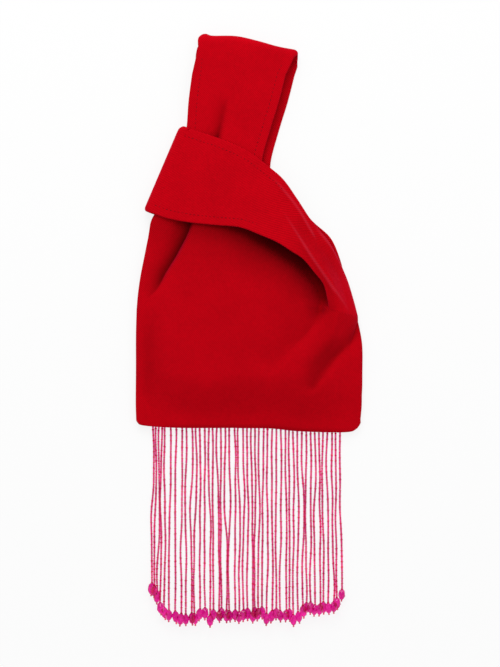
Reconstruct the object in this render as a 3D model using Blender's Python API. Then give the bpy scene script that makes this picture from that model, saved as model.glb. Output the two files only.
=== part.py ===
"""A knot bag of red cloth with a beaded fringe, lying on its back on a table.

Lengths are in metres. X runs across the bag, Y from the fringe to the hand loop, and Z up from the
table. Each cloth panel is a Y: a body that parts into a long strap and a short one. The long strap is
the hand loop. The short one is the band that goes round it, which is the knot.
"""

import math

import bmesh
import bpy
import numpy as np

# The cloth body
BODY_WIDTH = 0.226
BODY_HEIGHT = 0.200
BODY_PUFF = 0.026
EDGE_ROLL = 0.048
HEM_SAG = 0.0035
CLOTH = 0.0024
LINING_CLOTH = 0.0008
SEAM_GAP = 0.0003
KNOT_GAP = 0.0006

# The hand loop and the band round it
LOOP_HEIGHT = 0.1115
LOOP_WIDTH = 0.099
LOOP_LEAN = 0.0215
LOOP_GAP = 0.009
BACK_SHIFT = 0.008
BAND_WIDTH = 0.092
HAND_GAP = 0.005
BAND_RISE = 0.011
CREASE_DEPTH = 0.005
CREASE_WIDTH = 0.007
KNOT_FADE = 0.020
LAP = 0.006
BAND_CORNER = 0.0015
CREASE_FLANK = 0.006
BAND_MARGIN = 0.002
BACK_MARGIN = 0.006
NOTCH_BLEND = 0.006
NOTCH_CLEAR = 0.012
FOLD_BLEND = 0.008
SEAM_FADE = 0.020

# The fringe and its tape
TAPE_MARGIN = 0.018
TAPE_WIDTH = BODY_WIDTH - 2 * TAPE_MARGIN
TAPE_DEPTH = 0.007
TAPE = 0.001
HEM_OVERHANG = 0.0015
STRAND_COUNT = 45
FRINGE_MARGIN = 0.0194
FRINGE_WIDTH = BODY_WIDTH - 2 * FRINGE_MARGIN
FRINGE_MIDDLE = -0.0020
STRAND_LENGTH = 0.1832
STRAND_RADIUS = 0.00095
STRAND_SWAY = 0.0006
STRAND_UNEVEN = 0.005
DROP_LENGTH = 0.0115
DROP_WIDTH = 0.0070
STOP_LENGTH = 0.0018
STOP_WIDTH = 0.0022
TABLE_GAP = 0.00005

# Heights of the middle of each layer of cloth
BACK_LEVEL = CLOTH / 2
BACK_OVER = BACK_LEVEL + CLOTH + KNOT_GAP
SIDE_SEAM = BACK_LEVEL + CLOTH + SEAM_GAP
HEM_SEAM = BACK_LEVEL + CLOTH + TAPE + 2 * SEAM_GAP
KNOT_LEVEL = BACK_OVER + CLOTH + HAND_GAP
BAND_LEVEL = KNOT_LEVEL + CLOTH + KNOT_GAP
LOOP_LEVEL = BACK_LEVEL + CLOTH + LOOP_GAP
LINING_BACK = CLOTH + SEAM_GAP + LINING_CLOTH / 2
LINING_SEAM = LINING_BACK + LINING_CLOTH + SEAM_GAP

# The origin is under the middle of the whole length
KNOT_TOP = 1.41 * BODY_HEIGHT
FRINGE_REACH = STRAND_LENGTH + DROP_LENGTH + STOP_LENGTH
HEM_Y = (FRINGE_REACH - KNOT_TOP - LOOP_HEIGHT) / 2

# The front slopes down to the knot between these shares up
FRONT_SLOPE = (0.45, 1.35)
# The long strap's left edge parts from the back one, and its front half takes the loop's level,
# between these shares up
LOOP_OPENS = (0.90, 1.15)
LOOP_LEVELS = (1.40, 1.70)
# The back layer moves out to the right between these stations of the long strap
SHIFT_STATIONS = (3, 8)
# The short strap's shape starts at this share of the way from the hem to the notch
STRAP_START = 0.55
# How much wider the fold line's blend grows away from the notch
BLEND_GROWTH = 0.1
# How many times narrower than the body's edge the short strap's outer edge is rounded
OUTER_ROLL = 3
# How deep the fold below the notch is, as a share of the crease
LOWER_FOLD_SHARE = 0.7
# The band's fold is drawn in from this share of its width on
CORNER_FROM = 0.75
# A flank of the crease takes at most this share of the way to the left edge
FLANK_ROOM = 0.6
# A groove fades out over this many parts of its length at each end
GROOVE_PARTS = 5

# Rows of the body, as shares of the way from the hem to the notch
BODY_ROWS = (0, 0.03, 0.08, 0.16, 0.28, 0.42, 0.56, 0.70, 0.85, 1)
# On the long strap's side one column runs down the crease, between two flanks. These are shares
# from the left edge to its left flank, and shares from its right flank to the right edge.
EDGE_COLUMNS = (0, 0.22, 0.58)
REST_COLUMNS = (0.20, 0.45, 0.72, 1)
SHORT_COLUMNS = (0, 0.12, 0.28, 0.46, 0.64, 0.80, 0.93, 1)
# Rows from each station to the next, rows round a fold, and columns of the tape
STEPS = 2
FOLD_STEPS = 3 * STEPS
TAPE_COLUMNS = 13
# The lining starts at the first row from this share on, clear of the tape in the hem
LINING_START = 0.06
# The lining follows slopes up to this share of upright
LINING_SLOPE = 0.35

# The sides of the body, from the hem to the notch between the straps: share across, share up
LEFT_SIDE = ((0.012, 0.022), (0.000, 0.12), (0.002, 0.30), (0.002, 0.46), (0.004, 0.595))
RIGHT_SIDE = ((0.988, 0.000), (1.000, 0.10), (1.001, 0.27), (1.001, 0.42), (0.982, 0.550))
FOLD_LINE = ((0.485, 0.000), (0.545, 0.180), (0.626, 0.33), (0.728, 0.445), (0.854, 0.595))

# The long strap from the notch to the knot: left edge and right edge, share across and share up
LONG_STRAP = (
    (0.004, 0.595, 0.854, 0.595),
    (0.009, 0.680, 0.8425, 0.655),
    (0.020, 0.765, 0.832, 0.720),
    (0.035, 0.850, 0.796, 0.795),
    (0.055, 0.940, 0.718, 0.890),
    (0.082, 1.030, 0.648, 0.990),
    (0.124, 1.130, 0.595, 1.100),
    (0.166, 1.240, 0.569, 1.210),
    (0.205, 1.360, 0.558, 1.325),
)

# The hand loop above the knot: share of its height, share of its width
HAND_LOOP = ((0.145, 0.825), (0.39, 0.915), (0.63, 0.94))
LOOP_FOOT = 0.3975
# How far the top fold falls below its highest point, at shares of the loop's width
TOP_FOLD = (
    (0, 0.008),
    (0.10, 0),
    (0.25, 0.002),
    (0.42, 0.0025),
    (0.6, 0.007),
    (0.8, 0.0125),
    (1, 0.0165),
)

# The short strap from the notch to its fold: share across and up of its lower edge, the direction
# across it in degrees, its width as a share of the band's, and how far its lower edge, its ridge
# and its far half stand above the band's level, as shares of BAND_RISE
SHORT_STRAP = (
    (0.854, 0.595, -17, 0.330, 0.35, 0.85, 0.25),
    (0.845, 0.655, -7, 0.290, 0.75, 1.20, 0.30),
    (0.828, 0.720, 9, 0.265, 1.00, 1.40, 0.40),
    (0.790, 0.775, 28, 0.295, 0.90, 1.25, 0.30),
    (0.741, 0.840, 39, 0.335, 0.75, 1.05, 0.20),
    (0.688, 0.880, 56, 0.395, 0.55, 0.85, 0.15),
    (0.626, 0.925, 65, 0.515, 0.35, 0.55, 0.15),
    (0.551, 0.962, 67, 0.650, 0.18, 0.28, 0.20),
    (0.462, 1.000, 65, 0.730, 0.08, 0.12, 0.15),
    (0.352, 1.012, 66, 0.875, 0.00, 0.06, 0.08),
    (0.241, 1.025, 67, 0.965, 0.00, 0.03, 0.03),
    (0.144, 1.045, 68, 1.000, 0.00, 0.00, 0.00),
)
# Where across the short strap its edge, ridge and far half stand
STRAP_STOPS = (0, 0.15, 0.32, 0.50, 0.68, 1)
# The fold at the band's left end: its lower corner, and the direction along it
BAND_FOLD = (0.038, 1.089)
BAND_FOLD_ANGLE = 66.9
# The free outer edge of the short strap comes down from the knot to the side seam
OUTER_EDGE_OPEN = (0, 0, 0, 0.05, 0.38, 0.62, 0.80, 0.92, 1, 1, 1, 1)
# How far the back layer stands out past the front one at the shoulder, as shares of SHOULDER_PEEP
SHOULDER_PEEP = 0.0045
BACK_PEEP = (-0.3, -0.3, -0.3, 0.5, 1.0, 1.0, 0.2, -0.5, -0.5, -0.5, -0.5, -0.5)

# The crease of the front panel, from the loop down to the left side: share across, share up
CREASE = (
    (0.405, 1.72),
    (0.362, 1.45),
    (0.29, 1.20),
    (0.245, 1.02),
    (0.188, 0.87),
    (0.10, 0.70),
    (0.055, 0.645),
)
# The soft folds below the notch: share across, share up
NOTCH_FOLD = ((0.80, 0.54), (0.728, 0.445), (0.626, 0.33))
LOWER_FOLD = ((0.95, 0.445), (0.854, 0.345), (0.777, 0.23))

# The line of the strands' ends: share across the fringe, and how much longer or shorter they are
FRINGE_LINE = (
    (0, -0.0270),
    (0.04, -0.0175),
    (0.08, -0.0040),
    (0.14, 0.0032),
    (0.74, 0.0025),
    (0.84, -0.0078),
    (0.95, -0.0098),
    (1, -0.0198),
)
# Each strand's small shift, as a share of its room, and the seeds for its shift and its length
PLACE_SHIFT = 0.12
PLACE_SEED = 4
LENGTH_SEED = 9
# A strand's sides, its bends along its length, and how its sway differs from the next one's
STRAND_SIDES = 6
STRAND_BENDS = 2.2
SWAY_TURN = 2.4
# Where along a strand it bends, and how far it has risen to its drop in the upper row
STRAND_STOPS = ((0.16, 0), (0.40, 0), (0.64, 0), (0.84, 0.2))
# Where along a drop it is widest, and how far apart two rows of drops lie, in strands
DROP_SHOULDERS = (0.36, 0.62)
DROP_SPACING = 0.8


def spot(across, up):
    """A place on the table, from shares of the body's width and height."""
    return np.array([(across - 0.5) * BODY_WIDTH, HEM_Y + up * BODY_HEIGHT])


def through(stations, steps):
    """A smooth run through the stations, with this many steps from each to the next."""
    stations = np.array(stations, float)
    first = 2 * stations[0] - stations[1]
    last = 2 * stations[-1] - stations[-2]
    padded = np.vstack([first, stations, last])
    rows = []
    for i in range(len(stations) - 1):
        a, b, c, d = padded[i : i + 4]
        for k in range(steps):
            t = k / steps
            bend = (2 * a - 5 * b + 4 * c - d) * t**2 + (3 * b - a - 3 * c + d) * t**3
            rows.append(b + (c - a) * t / 2 + bend / 2)
    rows.append(stations[-1])
    return np.array(rows)


def spread(stations, shares):
    """Places at shares of the length of the smooth run through the stations."""
    fine = through(stations, 12)
    lengths = np.concatenate([[0], np.cumsum(np.linalg.norm(np.diff(fine, axis=0), axis=1))])
    wanted = np.array(shares) * lengths[-1]
    return np.array([np.interp(wanted, lengths, fine[:, k]) for k in range(fine.shape[1])]).T


def ease(t):
    """Goes smoothly from 0 to 1 as t does."""
    t = np.clip(t, 0, 1)
    return t * t * (3 - 2 * t)


def ease_between(value, limits):
    """Goes smoothly from 0 at the first limit to 1 at the second."""
    return ease((value - limits[0]) / (limits[1] - limits[0]))


def roll(distance):
    """The rounding of a stuffed edge: 0 at the edge and 1 from EDGE_ROLL inwards."""
    t = np.clip(distance / EDGE_ROLL, 0, 1)
    return np.sqrt(1 - (1 - t) ** 2)


def distance_to(points, line):
    """How far each point lies from a line of places, and how far along the line, from 0 to 1."""
    best = np.full(len(points), np.inf)
    along = np.zeros(len(points))
    for k in range(len(line) - 1):
        a = line[k]
        run = line[k + 1] - a
        t = np.clip((points - a) @ run / (run @ run), 0, 1)
        away = np.linalg.norm(points - a - t[:, None] * run, axis=1)
        along = np.where(away < best, (k + t) / (len(line) - 1), along)
        best = np.minimum(best, away)
    return best, along


def inside(points, ring):
    """Which points lie inside a closed ring of places."""
    found = np.zeros(len(points), bool)
    x, y = points.T
    for (ax, ay), (bx, by) in zip(ring, np.roll(ring, -1, axis=0)):
        crosses = (ay > y) != (by > y)
        slope = np.where(ay == by, 1, by - ay)
        found ^= crosses & (x < (bx - ax) * (y - ay) / slope + ax)
    return found


def groove(points, line, depth, width):
    """A soft valley along a line, which fades out at both ends."""
    away, along = distance_to(points, line)
    fade = ease(along * GROOVE_PARTS) * ease((1 - along) * GROOVE_PARTS)
    return -depth * fade * np.exp(-((away / width) ** 2))


def band_edges(peep):
    """The lower and the outer edge of the short strap, from the notch to the left fold's start."""
    lower = []
    outer = []
    for (across, up, angle, share, *_), out in zip(SHORT_STRAP, peep):
        direction = np.array([math.cos(math.radians(angle)), math.sin(math.radians(angle))])
        foot = spot(across, up)
        lower.append(foot)
        outer.append(foot + direction * (share * BAND_WIDTH + out * SHOULDER_PEEP))
    along = np.array([math.cos(math.radians(BAND_FOLD_ANGLE)), math.sin(math.radians(BAND_FOLD_ANGLE))])
    inwards = np.array([along[1], -along[0]])
    corner = spot(*BAND_FOLD) + inwards * fold_reach(BAND_LEVEL)
    lower.append(corner)
    outer.append(corner + along * BAND_WIDTH)
    return np.array(lower), np.array(outer), -inwards


def fold_reach(level):
    """How far a fold from this level down to the back layer stands out, with its cloth."""
    return (level - BACK_LEVEL) / 2 + CLOTH / 2


def under_band(points, margin, fade):
    """1 for the places that the band covers and 0 well away from it."""
    lower, outer, _ = band_edges([0] * len(SHORT_STRAP))
    ring = np.vstack([through(lower, 4), through(outer, 4)[::-1]])
    away, _ = distance_to(points, np.vstack([ring, ring[:1]]))
    away = np.where(inside(points, ring), 0, away)
    return 1 - ease((away - margin) / fade)


def across_rows(starts, ends, shares):
    """A grid of places: one row from each start to its end, at the given shares."""
    shares = np.broadcast_to(np.array(shares), (len(starts), np.shape(shares)[-1]))[:, :, None]
    return starts[:, None, :] * (1 - shares) + ends[:, None, :] * shares


def long_columns(starts, ends):
    """The long side's columns on each row, as shares across it, with one column down the crease."""
    crease = through([spot(*p) for p in CREASE], 4)
    probes = np.linspace(0, 1, 201)
    shares = []
    for start, end in zip(starts, ends):
        away, _ = distance_to(start + probes[:, None] * (end - start), crease)
        valley = probes[np.argmin(away)]
        flank = min(CREASE_FLANK / np.linalg.norm(end - start), valley * FLANK_ROOM)
        left = [share * (valley - flank) for share in EDGE_COLUMNS]
        right = [valley + flank + share * (1 - valley - flank) for share in REST_COLUMNS]
        shares.append(left + [valley - flank, valley, valley + flank] + right)
    return np.array(shares)


def body_plan(rows, inset):
    """The plan of the body's two sides, from the hem to the notch, drawn in by an inset."""
    left = spread([spot(*p) for p in LEFT_SIDE], rows)
    right = spread([spot(*p) for p in RIGHT_SIDE], rows)
    middle = spread([spot(*p) for p in FOLD_LINE], rows)
    left[:, 0] += inset
    right[:, 0] -= inset
    left[0, 1] += inset
    middle[0, 1] += inset
    right[0, 1] += inset
    return left, middle, right


def hem_sag(share):
    """The hem hangs a little lower on its right half."""
    return -HEM_SAG * np.sin(math.pi * np.array(share))


def loop_centre(share):
    """The middle of the hand loop at a share of its height above the knot."""
    foot = spot(LOOP_FOOT, 0)[0]
    return np.array([foot + LOOP_LEAN * share, HEM_Y + KNOT_TOP + LOOP_HEIGHT * share])


def long_strap_edges(shift):
    """The left and the right edge of the long strap, from the notch to where its top fold starts."""
    left = []
    right = []
    for k, (left_across, left_up, right_across, right_up) in enumerate(LONG_STRAP):
        move = np.array([shift * ease_between(k, SHIFT_STATIONS), 0])
        left.append(spot(left_across, left_up) + move / 4)
        right.append(spot(right_across, right_up) + move)
    for up, share in HAND_LOOP:
        half = np.array([share * LOOP_WIDTH / 2, 0])
        left.append(loop_centre(up) - half + [shift / 4, 0])
        right.append(loop_centre(up) + half + [shift, 0])
    return np.array(left), np.array(right)


def fold_line_side(points):
    """0 on the long strap's side of the fold line, 1 on the short strap's side."""
    line = through([spot(*p) for p in FOLD_LINE], 4)
    away, _ = distance_to(points, line)
    right_of = points[:, 0] > np.interp(points[:, 1], line[:, 1], line[:, 0])
    notch = np.linalg.norm(points - line[-1], axis=1)
    return ease(0.5 + np.where(right_of, away, -away) / (FOLD_BLEND + BLEND_GROWTH * notch))


def front_top(points):
    """The height of the stuffed front, away from its edges, before the knot presses it down."""
    up = (points[:, 1] - HEM_Y) / BODY_HEIGHT
    rise = BODY_PUFF - SIDE_SEAM
    slope = ease_between(up, FRONT_SLOPE)
    return SIDE_SEAM + rise * (1 - slope) + (KNOT_LEVEL - SIDE_SEAM) * slope


def short_strap_heights(points, foot, direction, width, low, ridge, far, opening):
    """The height of the short strap's front at places across one of its rows."""
    share = np.clip((points - foot) @ direction / width, 0, 1)
    rises = (low, (low + ridge) / 2, ridge, (ridge + far) / 2, far, 0)
    rise = np.interp(share, STRAP_STOPS, rises)
    top = BAND_LEVEL + rise * BAND_RISE
    edge = SIDE_SEAM + (BAND_LEVEL - SIDE_SEAM) * opening
    return edge + (top - edge) * roll((1 - share) * width * OUTER_ROLL)


def notch_row_heights(points):
    """The height across the row where the short strap leaves the body."""
    lower, outer, _ = band_edges([0] * len(SHORT_STRAP))
    width = np.linalg.norm(outer[0] - lower[0])
    low, ridge, far = SHORT_STRAP[0][4:]
    return short_strap_heights(points, lower[0], (outer[0] - lower[0]) / width, width, low, ridge, far, 0)


def press_down(points, height):
    """The long strap's side under the band, with its crease and its rise to the notch."""
    notch = spot(*LONG_STRAP[0][2:])
    cover = under_band(points, BAND_MARGIN, KNOT_FADE)
    height = height * (1 - cover) + np.minimum(height, KNOT_LEVEL) * cover
    crease = through([spot(*p) for p in CREASE], 4)
    height = height + groove(points, crease, CREASE_DEPTH, CREASE_WIDTH)
    near = np.exp(-((np.linalg.norm(points - notch, axis=1) / NOTCH_BLEND) ** 2))
    return height * (1 - near) + notch_row_heights(notch[None])[0] * near


def front_body(rows):
    """The front panel's body: its grid of points from the hem to the notch."""
    left, middle, right = body_plan(rows, 0)
    long_side = across_rows(left, middle, long_columns(left, middle))
    short_side = across_rows(middle, right, SHORT_COLUMNS)
    short_side[0, :, 1] += hem_sag(SHORT_COLUMNS)
    plan = np.concatenate([long_side, short_side[:, 1:]], axis=1)
    points = plan.reshape(-1, 2)
    from_left = np.linalg.norm(plan - left[:, None], axis=2).ravel()
    from_right = np.linalg.norm(plan - right[:, None], axis=2).ravel()
    from_hem = (plan[:, :, 1] - plan[:1, :, 1]).ravel()
    from_sides = np.minimum(from_left, from_right)
    seam = (1 - ease(from_hem / SEAM_FADE)) * ease(from_sides / SEAM_FADE)
    edge = SIDE_SEAM + (HEM_SEAM - SIDE_SEAM) * seam
    height = edge + (front_top(points) - edge) * roll(from_left) * roll(from_right) * roll(from_hem)
    for fold, share in ((LOWER_FOLD, LOWER_FOLD_SHARE), (NOTCH_FOLD, 1)):
        line = through([spot(*p) for p in fold], 4)
        height = height + groove(points, line, CREASE_DEPTH * share, CREASE_WIDTH)
    near_notch = ease_between(np.repeat(rows, plan.shape[1]), (STRAP_START, 1))
    short_height = height * (1 - near_notch) + notch_row_heights(points) * near_notch
    side = fold_line_side(points)
    height = press_down(points, height) * (1 - side) + short_height * side
    count = long_side.shape[1]
    height = height.reshape(plan.shape[:2])
    height[-1, count - 1 :] = notch_row_heights(plan[-1, count - 1 :])
    return np.dstack([plan, height])


def front_long_strap(steps):
    """The front half of the long strap, from the notch over its top fold."""
    left, right = (through(edge, steps) for edge in long_strap_edges(0))
    plan = across_rows(left, right, long_columns(left, right))
    points = plan.reshape(-1, 2)
    from_left = np.linalg.norm(plan - plan[:, :1], axis=2).ravel()
    up = (points[:, 1] - HEM_Y) / BODY_HEIGHT
    opening = ease_between(up, LOOP_OPENS)
    edge = SIDE_SEAM + (KNOT_LEVEL - SIDE_SEAM) * opening
    level = front_top(points)
    level = level + (LOOP_LEVEL - level) * ease_between(up, LOOP_LEVELS)
    edge = np.minimum(edge, level)
    height = edge + (level - edge) * roll(from_left)
    height = press_down(points, height).reshape(plan.shape[:2])
    grid = np.dstack([plan, height])
    return np.concatenate([grid, top_fold_rows(grid[-1], steps)])


def turn_over(start, outwards, radius):
    """The rows that go half round a fold from a row, and lap a little way under it."""
    flat = np.ones(len(start))
    rows = []
    for k in range(FOLD_STEPS + 1):
        angle = math.pi * k / FOLD_STEPS
        out = outwards * radius * math.sin(angle)
        level = BACK_LEVEL + radius * (1 + math.cos(angle))
        rows.append(np.column_stack([start + out, level * flat]))
    rows.append(np.column_stack([start - outwards * LAP, BACK_LEVEL * flat]))
    return rows


def top_fold_start():
    """The row where the long strap's top fold starts."""
    left, right = long_strap_edges(0)
    shares = long_columns(left[-1:], right[-1:])[0]
    fall = np.interp(shares, *zip(*TOP_FOLD))
    centre = loop_centre(1)
    across = centre[0] + (shares - 0.5) * LOOP_WIDTH
    return np.column_stack([across, centre[1] - fall - fold_reach(LOOP_LEVEL)])


def top_fold_rows(last, steps):
    """The rows that go over the top fold and a little way down the back."""
    start = top_fold_start()
    rows = []
    for share in np.linspace(0, 1, steps + 1)[1:-1]:
        height = last[:, 2] * (1 - share) + LOOP_LEVEL * share
        rows.append(np.column_stack([last[:, :2] * (1 - share) + start * share, height]))
    return np.array(rows + turn_over(start, np.array([0, 1]), (LOOP_LEVEL - BACK_LEVEL) / 2))


def front_short_strap(steps):
    """The front half of the short strap, from the notch over its left fold."""
    lower, outer, outwards = band_edges([0] * len(SHORT_STRAP))
    profile = np.array([s[4:] for s in SHORT_STRAP] + [(0, 0, 0)])
    opening = np.array(list(OUTER_EDGE_OPEN) + [1])
    stations = np.column_stack([lower, outer, profile, opening])
    rows = []
    for row in through(stations, steps):
        foot = row[:2]
        width = np.linalg.norm(row[2:4] - foot)
        direction = (row[2:4] - foot) / width
        points = foot + np.array(SHORT_COLUMNS)[:, None] * width * direction
        shape = (*row[4:7], np.clip(row[7], 0, 1))
        height = short_strap_heights(points, foot, direction, width, *shape)
        rows.append(np.column_stack([points, height]))
    start = rows[-1][:, :2] - outwards * corner_draw()[:, None]
    return np.array(rows[:-1] + turn_over(start, outwards, (BAND_LEVEL - BACK_LEVEL) / 2))


def corner_draw():
    """How far the band's fold is drawn in at each column, towards its rounded upper corner."""
    return BAND_CORNER * ease_between(np.array(SHORT_COLUMNS), (CORNER_FROM, 1))


def back_body(rows):
    """The back panel's body, flat on the table."""
    left, middle, right = body_plan(rows, HEM_OVERHANG)
    long_side = across_rows(left, middle, long_columns(left, middle))
    short_side = across_rows(middle, right, SHORT_COLUMNS)
    plan = np.concatenate([long_side, short_side[:, 1:]], axis=1)
    return np.dstack([plan, np.full(plan.shape[:2], BACK_LEVEL)])


def back_long_strap(steps):
    """The back half of the long strap, which crosses over the back of the band."""
    left, right = long_strap_edges(BACK_SHIFT)
    left[:, 0] += HEM_OVERHANG
    left = through(left, steps)
    right = through(right, steps)
    end = top_fold_start() - [0, LAP + SEAM_GAP]
    plan = np.concatenate([across_rows(left, right, long_columns(left, right)), end[None]])
    points = plan.reshape(-1, 2)
    notch = spot(*LONG_STRAP[0][2:])
    cover = under_band(points, BACK_MARGIN, KNOT_FADE)
    cover = cover * ease(np.linalg.norm(points - notch, axis=1) / NOTCH_CLEAR)
    height = BACK_LEVEL + (BACK_OVER - BACK_LEVEL) * cover
    return np.dstack([plan, height.reshape(plan.shape[:2])])


def back_short_strap(steps):
    """The back half of the short strap, flat on the table."""
    lower, outer, outwards = band_edges(BACK_PEEP)
    lower[-1] -= outwards * (LAP + SEAM_GAP)
    outer[-1] -= outwards * (LAP + SEAM_GAP)
    lower = through(np.delete(lower, -2, axis=0), steps)
    outer = through(np.delete(outer, -2, axis=0), steps)
    plan = across_rows(lower, outer, SHORT_COLUMNS)
    plan[-1] -= outwards * corner_draw()[:, None]
    return np.dstack([plan, np.full(plan.shape[:2], BACK_LEVEL)])


def add_rows(mesh, rows):
    """Vertices for a grid of points."""
    return [[mesh.verts.new(p) for p in row] for row in rows]


def join_rows(mesh, rows):
    """Faces between the rows of a grid, seen from above."""
    for low, high in zip(rows, rows[1:]):
        for k in range(len(low) - 1):
            mesh.faces.new((low[k], low[k + 1], high[k + 1], high[k]))


def y_sheet(body, long_strap, short_strap):
    """One sheet from a body and its two straps, which share the body's last row."""
    mesh = bmesh.new()
    grid = add_rows(mesh, body)
    join_rows(mesh, grid)
    count = long_strap.shape[1]
    join_rows(mesh, [grid[-1][:count]] + add_rows(mesh, long_strap[1:]))
    join_rows(mesh, [grid[-1][count - 1 :]] + add_rows(mesh, short_strap[1:]))
    return mesh


def plain_sheet(rows):
    """One sheet from a grid of points."""
    mesh = bmesh.new()
    join_rows(mesh, add_rows(mesh, rows))
    return mesh


def material(name, colour, roughness, clear):
    """A plain material of one colour."""
    made = bpy.data.materials.new(name)
    made.use_nodes = True
    shader = made.node_tree.nodes["Principled BSDF"]
    shader.inputs["Base Color"].default_value = (*colour, 1)
    shader.inputs["Roughness"].default_value = roughness
    shader.inputs["Transmission Weight"].default_value = clear
    shader.inputs["Metallic"].default_value = 0
    return made


def add_object(name, mesh, look):
    """A named object from a mesh, shaded smooth."""
    data = bpy.data.meshes.new(name)
    bmesh.ops.recalc_face_normals(mesh, faces=mesh.faces)
    mesh.to_mesh(data)
    mesh.free()
    data.materials.append(look)
    made = bpy.data.objects.new(name, data)
    bpy.context.scene.collection.objects.link(made)
    return made


def add_cloth(name, mesh, thickness, look):
    """A sheet of cloth with its thickness on both sides of the mesh."""
    for face in mesh.faces:
        face.smooth = True
    made = add_object(name, mesh, look)
    solid = made.modifiers.new("thickness", "SOLIDIFY")
    solid.thickness = thickness
    solid.offset = 0
    return made


def grid_normals(grid):
    """The upward normal at each point of a grid."""
    along = np.gradient(grid, axis=0)
    across = np.gradient(grid, axis=1)
    normal = np.cross(across, along)
    return normal / np.linalg.norm(normal, axis=2)[:, :, None]


def lining_plan(body):
    """The part of a body's grid that its lining covers, clear of the seams round it."""
    covered = body[np.array(BODY_ROWS) >= LINING_START][:-2]
    rows = covered[:, len(EDGE_COLUMNS) : -1].copy()
    rows[:, -1] = (covered[:, -2] + covered[:, -3]) / 2
    return rows


def lining_front_rows(body):
    """The front lining lies against the inside of the front panel and comes down to its seam."""
    lift = CLOTH / 2 + SEAM_GAP + LINING_CLOTH / 2
    upright = np.clip(grid_normals(body)[:, :, 2], LINING_SLOPE, 1)
    rows = body.copy()
    rows[:, :, 2] -= lift / upright
    rows = lining_plan(rows)
    rows[:, 0, 2] = LINING_SEAM
    rows[:, -1, 2] = LINING_SEAM
    rows[0, :, 2] = LINING_SEAM
    return rows


def lining_back_rows(body):
    """The back lining lies flat on the inside of the back panel."""
    rows = lining_plan(body)
    rows[:, :, 2] = LINING_BACK
    return rows


def tape_rows(hem):
    """The header tape lies in the hem's seam, with its lower edge level with the back panel's."""
    across = np.linspace(-TAPE_WIDTH / 2, TAPE_WIDTH / 2, TAPE_COLUMNS) + FRINGE_MIDDLE
    edge = np.interp(across, hem[:, 0], hem[:, 1])
    level = np.full(len(across), CLOTH + SEAM_GAP + TAPE / 2)
    return np.array([np.column_stack([across, edge + up, level]) for up in (0, TAPE_DEPTH)])


def strand_places():
    """Where each strand leaves the hem, across the bag, with a little seeded unevenness."""
    shares = np.linspace(-0.5, 0.5, STRAND_COUNT)
    uneven = np.random.RandomState(PLACE_SEED).uniform(-1, 1, STRAND_COUNT)
    pitch = FRINGE_WIDTH / (STRAND_COUNT - 1)
    slack = pitch - 2 * STRAND_RADIUS
    return FRINGE_MIDDLE + shares * FRINGE_WIDTH + PLACE_SHIFT * slack * uneven


def strand_lengths():
    """The length of each strand to its drop: the fringe is shorter towards both ends."""
    line = np.interp(np.linspace(0, 1, STRAND_COUNT), *zip(*FRINGE_LINE))
    uneven = np.random.RandomState(LENGTH_SEED).uniform(0, 1, STRAND_COUNT)
    return STRAND_LENGTH + line - STRAND_UNEVEN * uneven


def ring_of(centre, radius):
    """A round of points about a strand's centre line, in the plane across it."""
    angles = (np.arange(STRAND_SIDES) + 0.5) * 2 * math.pi / STRAND_SIDES
    x, y, z = centre
    return [(x + radius * math.cos(a), y, z + radius * math.sin(a)) for a in angles]


def strand_mesh(index, place, hem_y, length):
    """One beaded strand with its drop and its stop bead, from the hem to its end."""
    upper = index % 2
    sway = STRAND_SWAY * math.sin(index * SWAY_TURN)
    pitch = FRINGE_WIDTH / (STRAND_COUNT - 1)
    low = STRAND_RADIUS + TABLE_GAP
    stack = math.sqrt((DROP_WIDTH + SEAM_GAP) ** 2 - (DROP_SPACING * pitch) ** 2)
    drop_level = DROP_WIDTH / 2 + TABLE_GAP + upper * stack
    start = hem_y - SEAM_GAP
    start_level = CLOTH + SEAM_GAP + TAPE / 2 - STRAND_RADIUS / 2
    rings = [((place, start, start_level), STRAND_RADIUS)]
    for share, risen in STRAND_STOPS:
        bend = sway * math.sin(math.pi * share * STRAND_BENDS)
        level = low + upper * risen * (drop_level - low)
        rings.append(((place + bend, start - share * length, level), STRAND_RADIUS))
    top = start - length
    stop = top - DROP_LENGTH
    rings.append(((place, top, drop_level), STRAND_RADIUS))
    for share in DROP_SHOULDERS:
        rings.append(((place, top - share * DROP_LENGTH, drop_level), DROP_WIDTH / 2))
    rings.append(((place, stop, drop_level), STRAND_RADIUS))
    rings.append(((place, stop - STOP_LENGTH / 2, drop_level), STOP_WIDTH / 2))
    rings.append(((place, stop - STOP_LENGTH, drop_level), STOP_WIDTH / 4))
    mesh = bmesh.new()
    rounds = [[mesh.verts.new(p) for p in ring_of(*ring)] for ring in rings]
    for a, b in zip(rounds, rounds[1:]):
        for k in range(STRAND_SIDES):
            after = (k + 1) % STRAND_SIDES
            mesh.faces.new((a[k], a[after], b[after], b[k]))
    mesh.faces.new(rounds[0][::-1])
    mesh.faces.new(rounds[-1])
    return mesh


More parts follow.
